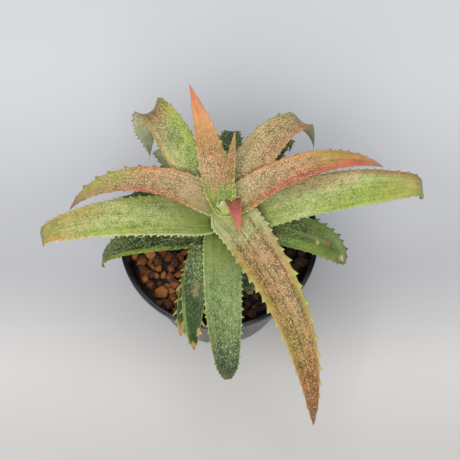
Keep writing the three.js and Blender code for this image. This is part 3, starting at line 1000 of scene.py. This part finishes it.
# %% [markdown]
# ## The green leaves
#
# Older leaves stay green under their silver. The widest ones are folded down near the
# end, so from above they look cut off. The one in front ends in an old blunt cut.

# %% Describe the green leaves
GREEN = dict(skin="green", reach=5, thickness=2.1, gutter="0 .1", broad=0.8, edge=0.9)
grow(
    "leaf_back_left", 130, 105, 142, 22, 34, 0, turn=-5.5, fold=(118, 0.485, 0.24), taper=(6, 2.3),
    thickness=2, teeth=(1.6, 1.1), skin="green", thorn="ochre", pitch=5.5, under="pale",
    right=".2 leaf .3 vivid .42 lime .5 olive .6 burnt .7 dull",
    left="0 celery .15 cream .3 honey .42 honey .52 burnt .65 dull",
    lanes={
        -0.7: "0 leaf .15 fresh .3 lime .44 khaki .55 burnt .68 dull .85 pale",
        0: "0 leaf .15 fresh .3 spring .4 frost .47 tan .54 burnt .62 dull .72 pale",
        0.8: "0 fresh .15 pear .3 cream .42 sand .52 tan .65 pale",
    },
    gutter="0 .18 .36 .2 .5 .6 .62 .4 1 .25",
    down="0 .6 .15 .9 .5 1 .65 .5 1 .4",
)
grow(
    "leaf_left_green", 185, 101, 116, 26, 25, 45, GREEN, turn=10, fold=(70, 0.88, 0.12),
    taper=(3.2, 0.8), teeth=(1.8, 1.5), thorn="cream", pitch=4.6,
    right=".2 fresh .4 celery .6 mustard .8 salmon 1 brown",
    left="0 pear .3 cream .6 cream .72 apricot .82 salmon .9 brown",
    lanes={
        -0.8: "0 leaf .18 fresh .33 celery .5 spring .62 mustard .78 ochre 1 olive",
        -0.4: "0 leaf .18 fresh .33 pear .5 spring .64 mustard .8 mustard 1 olive",
        0.1: "0 leaf .17 celery .33 spring .6 pear .78 mustard 1 olive",
        0.75: "0 leaf .17 fresh .33 celery .48 lime .62 spring .78 honey 1 ochre",
    },
    down="0 .05 .14 .3 .3 .9 .65 1 .8 .6 1 .5",
    marks=[
        (0.6, 0.62, 13, 1.6, "vivid", 0.75, 0.3), (0.68, 0.05, 3.2, 0.8, "sand", 0.7, 0.5),
        (0.93, 0.35, 2.4, 0.7, "cream", 0.9, 0.2),
    ],
)
grow(
    "leaf_right_green", 10, 99, 128, 26, 24, 35, GREEN, turn=-9, fold=(80, 0.88, 0.12),
    taper=(4, 0.8), teeth=(1.3, 1.8), thorn="spring", pitch=4.8,
    right="0 celery .3 pear .6 lime .85 khaki 1 mustard",
    left="0 leaf .25 olive .45 burnt .6 burnt .8 brown",
    lanes={
        -0.75: "0 fresh .2 celery .35 pear .5 lime .65 lime .85 khaki 1 sand",
        0: "0 fresh .17 spring .33 pear .48 pear .62 lime .8 khaki 1 sand",
        0.5: "0 leaf .17 fresh .33 sand .48 sand .62 pear .8 mustard 1 sand",
        0.85: "0 leaf .2 fresh .35 sand .5 sand .65 burnt .85 burnt 1 brown",
    },
    down="0 .2 .1 .5 .3 1 .55 .9 .72 .45 .85 .25 1 .2",
    marks=[
        (0.2, 0.45, 16, 2.8, "pale", 0.5, 0.7), (0.78, 0.1, 16, 0.6, "leaf", 0.5, 0.5),
        (0.87, 0.1, 2.2, 0.7, "amber", 0.9, 0.3),
    ],
)
grow(
    "leaf_front_green", 268, 97, 108, 23, 12, 66, turn=9.5, reach=5, droop_power=1.5,
    fold=(42, 0.76, 0.12), taper=(3.6, 1.2), sheath=1, thickness=2, teeth=(1.5, 1.5),
    skin="frosted", thorn="pear", pitch=4, broad=0.35, edge=0.93, cut=0.93,
    right="0 celery .3 pear .6 pear .7 sage .78 moss 1 sage",
    left="0 leaf .3 frost .6 frost .7 sage .78 moss 1 sage",
    lanes={
        0: "0 leaf .2 fresh .33 frost .48 frost .6 moss .7 dark .8 deep .9 dark 1 moss",
        0.6: ".2 fresh .33 frost .48 frost .6 moss .7 dark .8 deep .9 dark 1 moss",
    },
    down="0 .1 .15 .3 .35 .8 .7 1 .78 1 .86 .4 1 .2",
)
print("leaves so far:", len(LEAVES))

# %% [markdown]
# ## The dark leaves
#
# The oldest leaves lie lowest, in the shade. They are deep green with coarse silver
# patches, and their long teeth and tips have dried to straw.

# %% Describe the dark leaves
DARK = dict(
    skin="dark", thorn="straw", hook=0.9, under="dim", broad=0.9, ripple=0.4, pitch=6,
    taper=(3, 0.8), thickness=1.7, teeth=(1.8, 1.8), droop_power=2, reach=5,
    right=".5 moss .9 dark 1 dry",
    lanes={
        -0.7: "0 deep .5 dark .9 dark 1 dry",
        0: "0 deep .4 dark .7 deep .95 dark 1 dry",
        0.7: "0 deep .5 dark .9 dark 1 dry",
    },
    down="0 .5 .3 1 .7 .9 1 .4",
)
grow("leaf_back_dark", 86, 95, 78, 18, 18, 100, DARK)
grow(
    "leaf_right_dark", 354, 94, 79, 24, 12, 80, DARK, turn=-16, taper=(4, 0.7), thickness=1.8,
    teeth=(2.2, 1.0), pitch=4.6, thorn="moss",
    right=".5 moss .8 olive .95 burnt 1 dry",
    left="0 moss .5 leaf .8 moss 1 brown",
    lanes={
        -0.7: "0 moss .15 frost .36 frost .5 leaf .8 leaf .92 moss 1 tan",
        0: ".33 frost .42 moss .55 deep .62 moss .75 dark .88 leaf 1 tan",
        0.7: "0 fresh .28 frost .4 dark .65 moss .85 frost 1 sage",
    },
    down="0 .6 .3 1 .45 .8 .6 .3 1 .15",
    marks=[
        (0.62, 0.25, 5, 0.8, "tan", 0.8, 0.2), (0.74, 0.2, 3.5, 0.7, "rust", 0.8, 0.2),
        (0.5, 0.4, 2.5, 0.6, "rust", 0.7, 0.2), (0.68, -0.2, 1.1, 0.9, "cream", 0.9, 0.1),
        (0.6, 0.0, 16, 0.7, "fresh", 0.6, 0.3), (0.92, -0.2, 2.6, 1.8, "pale", 0.9, 0.1),
        (0.9, -0.6, 2.2, 0.9, "straw", 0.8, 0.1), (0.8, -0.5, 9, 0.8, "rust", 0.5, 0.3),
    ],
)
grow(
    "leaf_back_dark_right", 54, 92, 99, 17, 33, 140, DARK, turn=8, droop_power=1.6, taper=(3, 1.5),
    thickness=1.6
)
grow(
    "leaf_left_dark", 193, 92, 93, 24, 7.5, 110, DARK, turn=-13.5, taper=(2.15, 1), thickness=1.8,
    teeth=(1.0, 1.4), pitch=5, thorn="moss",
    right=".5 moss .7 olive .85 burnt 1 dull",
    left="0 moss .3 leaf .4 vivid .75 vivid .88 pale",
    lanes={
        -0.6: ".5 dark .7 moss .84 dull .9 pale",
        0: ".3 deep .62 dark .75 moss .84 dull .9 pale",
        0.7: "0 deep .3 dark .55 dark .75 moss .85 dull .92 pale",
    },
    marks=[
        (0.25, 0.3, 12, 2.4, "dull", 0.6, 0.8), (0.55, 0.86, 24, 1.5, "lime", 0.85, 0.1),
    ],
)
grow(
    "leaf_front_dark", 228, 91, 80, 18, 12, 84, DARK, turn=48, turn_power=0.5, droop_power=2.3,
    taper=(2.8, 0.9), teeth=(2.8, 3.0), pitch=7, broad=0.45, ripple=0.7, end=0.99,
    right="0 moss .4 sage .6 leaf .85 leaf .93 straw",
    left="0 leaf .4 sage .65 moss .76 moss .8 straw 1 dry",
    lanes={
        -0.7: "0 moss .3 sage .45 dark .6 wet .75 deep .92 deep .97 straw 1 dry",
        0: "0 leaf .33 frost .45 sage .57 deep .68 wet .9 wet .95 straw 1 dry",
        0.6: "0 leaf .33 frost .48 sage .6 deep .7 wet .9 wet .95 straw 1 dry",
    },
    down="0 .4 .25 1 .42 1 .56 .3 1 .05",
    marks=[
        (0.55, 0.1, 5.5, 2.0, "sand", 0.45, 0.9), (0.84, 0.8, 3, 0.8, "straw", 0.8, 0.1),
        (0.74, -0.8, 13, 0.7, "leaf", 0.8, 0.1),
    ],
)
grow(
    "leaf_back_dark_left", 127, 90, 74, 17, 18, 80, DARK,
    lanes={
        0: "0 moss .4 dull 1 pale",
    },
    down="0 .4 1 .15",
)
grow("leaf_side_dark_left", 164.5, 88, 63, 20, 29, 50, DARK, turn=5.5, taper=(4, 1.6))
grow(
    "leaf_front_dark_low", 219.5, 87, 71.5, 10, 11, 82, DARK, turn=48, turn_power=0.48,
    droop_power=3.1, taper=(2.4, 0.6), thickness=1.6, teeth=(2.4, 2.6), broad=0.5, ripple=0.7,
    end=0.99,
    right="0 moss .6 leaf .85 leaf .93 straw 1 dry",
    left="0 moss .6 leaf .85 olive .93 straw 1 dry",
    lanes={
        0: "0 dark .5 deep .85 deep .95 straw 1 dry",
    },
    down="0 .5 .4 .7 .6 .3 1 .1",
)
grow(
    "leaf_front_dark_small", 293, 86, 38, 14, 4, 40, DARK, droop_power=1.5, taper=(4, 0.7),
    thickness=1.5, teeth=(1.0, 1.0), pitch=4
)
print("leaves in all:", len(LEAVES))

# %% Build all the leaves
leaf_pieces = [
    build_leaf(name, leaf, seed) for seed, (name, leaf) in enumerate(LEAVES.items())
]
faces = sum(len(piece.data.polygons) for piece in leaf_pieces)
print(len(leaf_pieces), "leaves with", faces, "faces in all")

# %% [markdown]
# ## The cup of sheaths and the bud
#
# The sheaths of the heart leaves wrap round each other and make a small open cup. Its
# front is a pair of thin walls, one inside the other, with thick lime green rims. Each
# wall is a strip that runs round the front: the path of its rim is a smooth curve through
# a few points, its foot is an arc round the stem, and its section is a long narrow lens.

# %% Build the cup's two walls
CUP_OUTER = [
    (-7.6, 9.6, 121.0), (-6.7, 7.0, 119.4), (-4.9, 2.0, 117.8), (-1.6, -3.2, 116.6),
    (2.4, -5.2, 116.0), (6.8, -5.2, 116.0), (10.4, -3.4, 115.8), (12.0, 0.4, 115.0),
]
CUP_INNER = [
    (-5.2, 8.6, 119.6), (-4.6, 6.0, 118.4), (-2.9, 1.6, 117.0), (0.1, -2.3, 115.8),
    (3.4, -3.9, 115.2), (6.8, -3.8, 115.0), (9.4, -2.2, 114.8), (10.6, 0.6, 114.0),
]
CUP_FOOT = 104.0
CUP_ROWS = 90
CUP_BULGE = 1.2


def smooth_path(points, count):
    """Cubic pieces through all the points; the slope at each is half its neighbours' gap."""
    points = np.array(points)
    slopes = np.gradient(points, axis=0)
    at = np.linspace(0, len(points) - 1, count)
    low = np.minimum(at.astype(int), len(points) - 2)
    u = (at - low)[:, None]
    return bridge(u, points[low], points[low + 1], slopes[low], slopes[low + 1])


def cup_wall(name, path, foot_radius, seed):
    """A wall from a foot round the stem to a rim; it bulges by 1.2 mm times sin(pi h)."""
    rim = smooth_path(path, CUP_ROWS)
    away = rim[:, :2] - STEM_AXIS
    facing = away / np.linalg.norm(away, axis=1, keepdims=True)
    foot = np.column_stack([STEM_AXIS + foot_radius * facing, np.full(CUP_ROWS, CUP_FOOT)])
    angle = round_angles(RING)[::-1]
    height = (0.5 + 0.5 * np.cos(angle))[None, :, None]
    side = np.sin(angle)[None, :, None]
    thick = (0.55 + 0.25 * height**4) * np.sign(side) * np.abs(side) ** 0.6
    rings = mix(foot[:, None], rim[:, None], height)
    rings[..., :2] += facing[:, None] * (CUP_BULGE * np.sin(np.pi * height) + thick)
    # The inner face, towards the stem, is painted deep green: partly the sheath's own darker green
    # and partly painted shade inside the cup.
    wall = mix(LINEAR["sheath"], LINEAR["deep"], smooth_step(-side, -0.2, 0.3))
    lip = mix(LINEAR["lime"], LINEAR["cream"], 0.25)
    tint = np.broadcast_to(mix(wall, lip, smooth_step(height, 0.82, 0.98)), rings.shape)
    grid = np.zeros(rings.shape[:2])
    strand = grid + height[..., 0]
    way = grid + np.linspace(0, 40, CUP_ROWS)[:, None]
    place = np.stack([way, 14 * strand, grid + seed], -1)
    mesh = tube_mesh(name, rings)
    store_grid(mesh, 0, tint=tint, down=grid + 0.3, strand=strand, place=place)
    return dress(name, mesh, SKINS["green"], "leaf_orange", "leaf_heart_tall")


cup_pieces = [
    cup_wall("heart_sheath_outer", CUP_OUTER, 6.2, 900.0),
    cup_wall("heart_sheath_inner", CUP_INNER, 5.2, 940.0),
]
print("the cup has", sum(len(piece.data.polygons) for piece in cup_pieces), "faces")

# %% [markdown]
# Inside the cup sits the pale bud of the next leaves. It is a small rounded spindle, so
# it is turned like one: a circle carried up an axis.

# %% Build the bud
BUD_CENTRE = (2.2, 4.2, 110.6)
BUD_HALVES = (6.6, 4.8, 8.0)
rows = np.linspace(0, 1, 30)[:, None]
angle = round_angles(40)
folds = 1 + 0.05 * np.sin(3 * angle + 1.0) * rows
radius = np.sin(np.pi * (0.08 + 0.915 * rows)) ** 0.6 * folds
bud, bud_faces = tube_shape(turned(radius, rows * 2 - 1, angle) * BUD_HALVES + BUD_CENTRE)
x, y = bud[:, :1], bud[:, 1:2]
bud_tint = mix(LINEAR["spring"], LINEAR["ivory"], smooth_step(y - 0.6 * x, -2.0, 3.0))
bud_tint = mix(bud_tint, LINEAR["rose"], smooth_step(y, 5.0, 8.5))
bud_mesh = faces_to_mesh("heart_bud", bud, bud_faces)
store(bud_mesh, tint=bud_tint, down=0.15 + 0 * x, strand=x / 8, place=bud[:, [2, 0, 1]])
dress("heart_bud", bud_mesh, SKINS["green"], "leaf_green", "leaf_heart_red")
print("the bud is", round(float(np.ptp(bud[:, 2])), 1), "mm tall")

# %% [markdown]
# ## The stem
#
# Under the leaves the short stem is brown and ringed by the scars of old leaves, with
# dry threads along it. It is a turned form whose radius has rings and ribs added.

# %% Build the stem
STEM_PROFILE = "56 5 70 5.2 84 5.8 98 5.2 106 3.6 107 2"
STEM_FOOT, STEM_TOP = 56, 107
z = np.linspace(STEM_FOOT, STEM_TOP, 150)[:, None]
angle = round_angles(72)
scars = 0.35 * np.abs(np.sin(np.pi * z / 2.9 + 0.9 * np.sin(angle * 2))) ** 0.5
ribs = 0.12 * np.sin(17 * angle + 0.3 * z) + 0.08 * np.sin(29 * angle)
radius = number_at(STEM_PROFILE, z) + scars + ribs * smooth_step(z, STEM_TOP, 103) - 0.3
stem_mesh = tube_mesh("stem_bark", turned(radius, z, angle) + (*STEM_AXIS, 0))

bark, tree, shader = new_material("dry stem")
in_mm = place_in_mm(tree)
threads = noise(tree, scaled(tree, in_mm, (1.6, 1.6, 0.22)), 1.0, 3.0, 0.6)
patches = noise(tree, in_mm, 0.25, 2.0)
wood = blend(tree, spread(tree, threads, 0.3, 0.7), paint(74, 54, 38), paint(158, 128, 92))
wood = blend(tree, spread(tree, patches, 0.4, 0.7, 0.0, 0.6), wood, paint(92, 92, 56))
coat(tree, shader, wood, 0.85, threads, 0.8, 0.4)
dress("stem_bark", stem_mesh, bark, "stem", "stem")
print("the stem has", len(stem_mesh.polygons), "faces")

# %% [markdown]
# ## Clay granules
#
# The plant grows in broken fired clay, 3 to 6 mm across. To lie naturally, each lump
# is dropped where it comes to rest lowest among a few random spots: it rests on the
# floor of the bed or on the granules already there. Only the upper layers are made.

# %% Drop the granules into the pot
POT_WALL = 1.6
BED_FLOOR = 58.0
BED_TOP = 70.0
STEM_ROOM = 5.2
GRANULE_COUNT = 2100
SMALLEST, RANGE = 1.7, 1.7
TRIES = 14
SEEN_FROM, SEEN_TO = 62.0, 74.0


def pot_radius(height):
    """Outer radius of the tapered wall: 40 at the foot, growing 0.235 for each mm up."""
    return 40 + 0.235 * height


def drop_granules():
    """Centres and radii of granules: each takes the lowest of a few random rests."""
    dice = np.random.default_rng(11)
    radii = SMALLEST + RANGE * dice.uniform(0, 1, GRANULE_COUNT)
    centres = np.zeros((GRANULE_COUNT, 3))
    for k in range(GRANULE_COUNT):
        room = pot_radius(BED_TOP) - POT_WALL - radii[k] - 0.3
        angle = dice.uniform(0, 2 * np.pi, TRIES)
        reach = room * np.sqrt(dice.uniform(0, 1, TRIES))
        spots = np.stack([reach * np.cos(angle), reach * np.sin(angle)], -1)
        near_stem = np.hypot(*(spots - STEM_AXIS).T) < STEM_ROOM + radii[k]
        gaps = np.hypot(*(spots[:, None, :] - centres[None, :k, :2]).transpose(2, 0, 1))
        touch = radii[k] + radii[None, :k]
        rest = centres[None, :k, 2] + np.sqrt(np.clip(touch**2 - gaps**2, 0, None))
        rest = np.where(gaps < touch, rest, 0)
        height = np.maximum(rest.max(1, initial=0), BED_FLOOR + radii[k])
        best = (height + 100 * near_stem).argmin()
        centres[k] = (*spots[best], height[best])
    return centres, radii


centres, radii = drop_granules()
tops = centres[:, 2] + radii
seen = (centres[:, 2] > SEEN_FROM) & (tops < SEEN_TO)
centres, radii = centres[seen], radii[seen]
print(len(radii), "granules, the highest top at", round(float(tops[seen].max()), 1), "mm")

# %% [markdown]
# Each granule is a broken lump with rounded corners and a few dozen faces. A handful of
# random planes cuts it out of space: in each direction the surface lies near the closest
# plane, and a power mean of the planes instead of the closest one rounds the corners.


# %% Shape the granules
def ball(subdivisions):
    """Points and triangles of a unit ball of near equal triangles."""
    shape = bmesh.new()
    bmesh.ops.create_icosphere(shape, subdivisions=subdivisions, radius=1.0)
    points = np.array([vert.co for vert in shape.verts])
    faces = np.array([[vert.index for vert in face.verts] for face in shape.faces])
    shape.free()
    return points, faces


def random_turns(count, dice):
    """Random rotation matrices, from random unit quaternions."""
    q = dice.normal(size=(count, 4))
    w, x, y, z = (q / np.linalg.norm(q, axis=1, keepdims=True)).T
    rows = [
        [1 - 2 * (y * y + z * z), 2 * (x * y - z * w), 2 * (x * z + y * w)],
        [2 * (x * y + z * w), 1 - 2 * (x * x + z * z), 2 * (y * z - x * w)],
        [2 * (x * z - y * w), 2 * (y * z + x * w), 1 - 2 * (x * x + y * y)],
    ]
    return np.array(rows).transpose(2, 0, 1)


PLANES = 8
ROUNDING = 6
TOP_LIMIT = 76.0
SWELL = 1.16
dice = np.random.default_rng(5)
ball_points, ball_faces = ball(1)
count = len(radii)
planes = dice.normal(size=(count, PLANES, 3))
planes /= np.linalg.norm(planes, axis=2, keepdims=True)
planes /= dice.uniform(0.62, 1.15, (count, PLANES, 1))
facing = np.clip(np.einsum("nkc,pc->npk", planes, ball_points), 0.6, None)
size = (facing**ROUNDING).sum(2) ** (-1 / ROUNDING)
size = size / size.mean(1, keepdims=True)
stretch = dice.uniform((0.95, 0.85, 0.75), (1.45, 1.15, 1.1), (count, 3))
local = ball_points[None] * size[..., None] * stretch[:, None]
local = np.einsum("nij,npj->npi", random_turns(count, dice), local)
granules = centres[:, None] + local * (radii * SWELL)[:, None, None]
granules[..., 2] = np.minimum(granules[..., 2], TOP_LIMIT)
granules = granules.reshape(-1, 3)
offsets = np.arange(count)[:, None, None] * len(ball_points)
granule_faces = (ball_faces[None] + offsets).reshape(-1, 3)
print("the granules have", len(granule_faces), "faces")

# %% [markdown]
# The bed below them is a plain tapered body that closes the view between granules; it is painted
# near black as painted shade in the gaps. Clay is fired in many tones, from dark brown to tan. To
# the right the granules are darkened with painted shade.

# %% Build the substrate piece
bed_z = np.array([50.0, 50.0, 64.0, 64.6])[:, None]
bed_r = np.array([0.5, 51.0, 54.0, 0.5])[:, None]
bed, bed_faces = tube_shape(turned(bed_r, bed_z, round_angles(96)))

CLAY = [linear((44, 24, 9)), linear((108, 63, 27)), linear((148, 95, 44))]
clay = rows_at(dice.uniform(0, 1, count), [0, 0.5, 1], CLAY)
# Painted shade: granules to the right of x = 4 mm darken towards near black by x = 16 mm.
wet = smooth_step(centres[:, 0], 4, 16)[:, None]
clay = np.repeat(clay * (1 - 0.82 * wet), len(ball_points), 0)
# Painted shade: the bed under the granules is near black, for the shade in the gaps between them.
bed_painted_shade_tint = np.tile(linear((22, 14, 10)), (len(bed), 1))

grit, tree, shader = new_material("fired clay")
colour = add(tree, "Attribute", attribute_name="tint").outputs["Color"]
in_mm = place_in_mm(tree)
grain = noise(tree, in_mm, 1.3, 4.0, 0.7)
pits = add(tree, "TexVoronoi", {"Vector": in_mm, "Scale": 1.6}).outputs[0]
pores = spread(tree, pits, 0.05, 0.3)
bright = spread(tree, grain, 0.4, 0.65, 0.0, 0.5)
colour = blend(tree, bright, colour, paint(255, 236, 214), "SOFT_LIGHT")
dull = spread(tree, grain, 0.45, 0.3, 0.0, 0.6)
colour = blend(tree, dull, colour, paint(150, 130, 120), "MULTIPLY")
colour = blend(tree, spread(tree, pores, 0.0, 1.0, 0.5, 0.0), colour, paint(40, 22, 14))
relief = calculate(tree, "ADD", times(tree, grain, 0.8), pores)
coat(tree, shader, colour, 0.7, relief, 0.8, 0.35)

all_faces = [granule_faces, *(faces + len(granules) for faces in bed_faces)]
clay_mesh = faces_to_mesh("clay_granules", np.concatenate([granules, bed]), all_faces, False)
store(clay_mesh, tint=np.concatenate([clay, bed_painted_shade_tint]))
dress("clay_granules", clay_mesh, grit, "substrate", "substrate")
print("the bed and its granules have", len(clay_mesh.polygons), "faces")

# %% [markdown]
# ## The pot
#
# A nursery pot is moulded in one piece of glossy black plastic: a tapered wall, a
# thicker lip with rounded edges, a floor with drain holes. It is a profile turned round
# the axis, and the holes are cut afterwards with a boolean.

# %% Turn the pot
POT_PROFILE = [
    (0.3, 1.2), (36.5, 1.2), (37.2, 0.9), (37.6, 0.3), (38.2, 0.0), (39.2, 0.0),
    (39.8, 0.25), (40.1, 0.8), (57.2, 74.6), (57.6, 75.0), (59.2, 75.2), (59.7, 75.5),
    (59.9, 76.0), (60.0, 79.0), (59.8, 79.6), (59.3, 79.95), (58.6, 80.0),
    (57.9, 79.9), (57.4, 79.5), (57.2, 79.0), (57.1, 76.5), (56.6, 75.2),
    (55.9, 74.0), (39.0, 2.9), (38.2, 2.2), (37.2, 2.0), (0.3, 2.0),
]


def densify(profile, step):
    """Adds points along each straight part of a profile, at most a step apart."""
    points = [profile[0]]
    for (r0, z0), (r1, z1) in zip(profile, profile[1:]):
        parts = max(1, int(math.hypot(r1 - r0, z1 - z0) / step))
        for k in range(1, parts + 1):
            points.append((r0 + (r1 - r0) * k / parts, z0 + (z1 - z0) * k / parts))
    return np.array(points)


profile = densify(POT_PROFILE, 4.0)
pot = turned(profile[:, :1], profile[:, 1:], round_angles(144))

plastic, tree, shader = new_material("black gloss plastic")
in_mm = place_in_mm(tree)
dust = noise(tree, in_mm, 0.9, 4.0, 0.7)
haze = noise(tree, scaled(tree, in_mm, (0.05, 0.05, 0.02)), 1.0, 2.0)
ripple = noise(tree, scaled(tree, in_mm, (0.12, 0.12, 0.05)), 1.0, 1.0)
dusty = spread(tree, dust, 0.55, 0.8, 0.0, 0.35)
black = blend(tree, dusty, paint(22, 22, 24), paint(92, 86, 78))
haze, dust = spread(tree, haze, 0.3, 0.7, 0.2, 0.34), spread(tree, dust, 0.5, 0.8, 0.0, 0.25)
coat(tree, shader, black, calculate(tree, "ADD", haze, dust), ripple, 0.3, 0.5)
print("the pot's profile has", len(profile), "points")

# %% Cut the drain holes and finish the pot
HOLE_COUNT = 6
HOLE_RING = 24.0
HOLE_RADIUS = 3.5


def cut_holes(mesh, drills):
    """Takes closed rods, given by their rings, out of a mesh; gives back the new mesh."""
    body = new_object("pot_blank", mesh)
    cutters = []
    for k, rings in enumerate(drills):
        cutter = new_object(f"drill_{k}", tube_mesh(f"drill_{k}", rings))
        change = body.modifiers.new(f"hole_{k}", "BOOLEAN")
        change.object = cutter
        change.operation = "DIFFERENCE"
        change.solver = "EXACT"
        cutters.append(cutter)
    bpy.context.view_layer.update()
    view = bpy.context.evaluated_depsgraph_get()
    cut = bpy.data.meshes.new_from_object(body.evaluated_get(view))
    for thing in [body, *cutters]:
        bpy.data.objects.remove(thing)
    return cut


rod = turned(HOLE_RADIUS, np.array([[-2.0], [6.0]]), round_angles(32))
drills = [
    rod + (HOLE_RING * math.cos(a), HOLE_RING * math.sin(a), 0) for a in round_angles(HOLE_COUNT)
]
pot_mesh = cut_holes(tube_mesh("pot_blank", pot), drills)
pot_mesh.name = "pot_shell"
pot_mesh.set_sharp_from_angle(angle=math.radians(35))
dress("pot_shell", pot_mesh, plastic, "pot", "pot")
print("the pot has", len(pot_mesh.polygons), "faces")
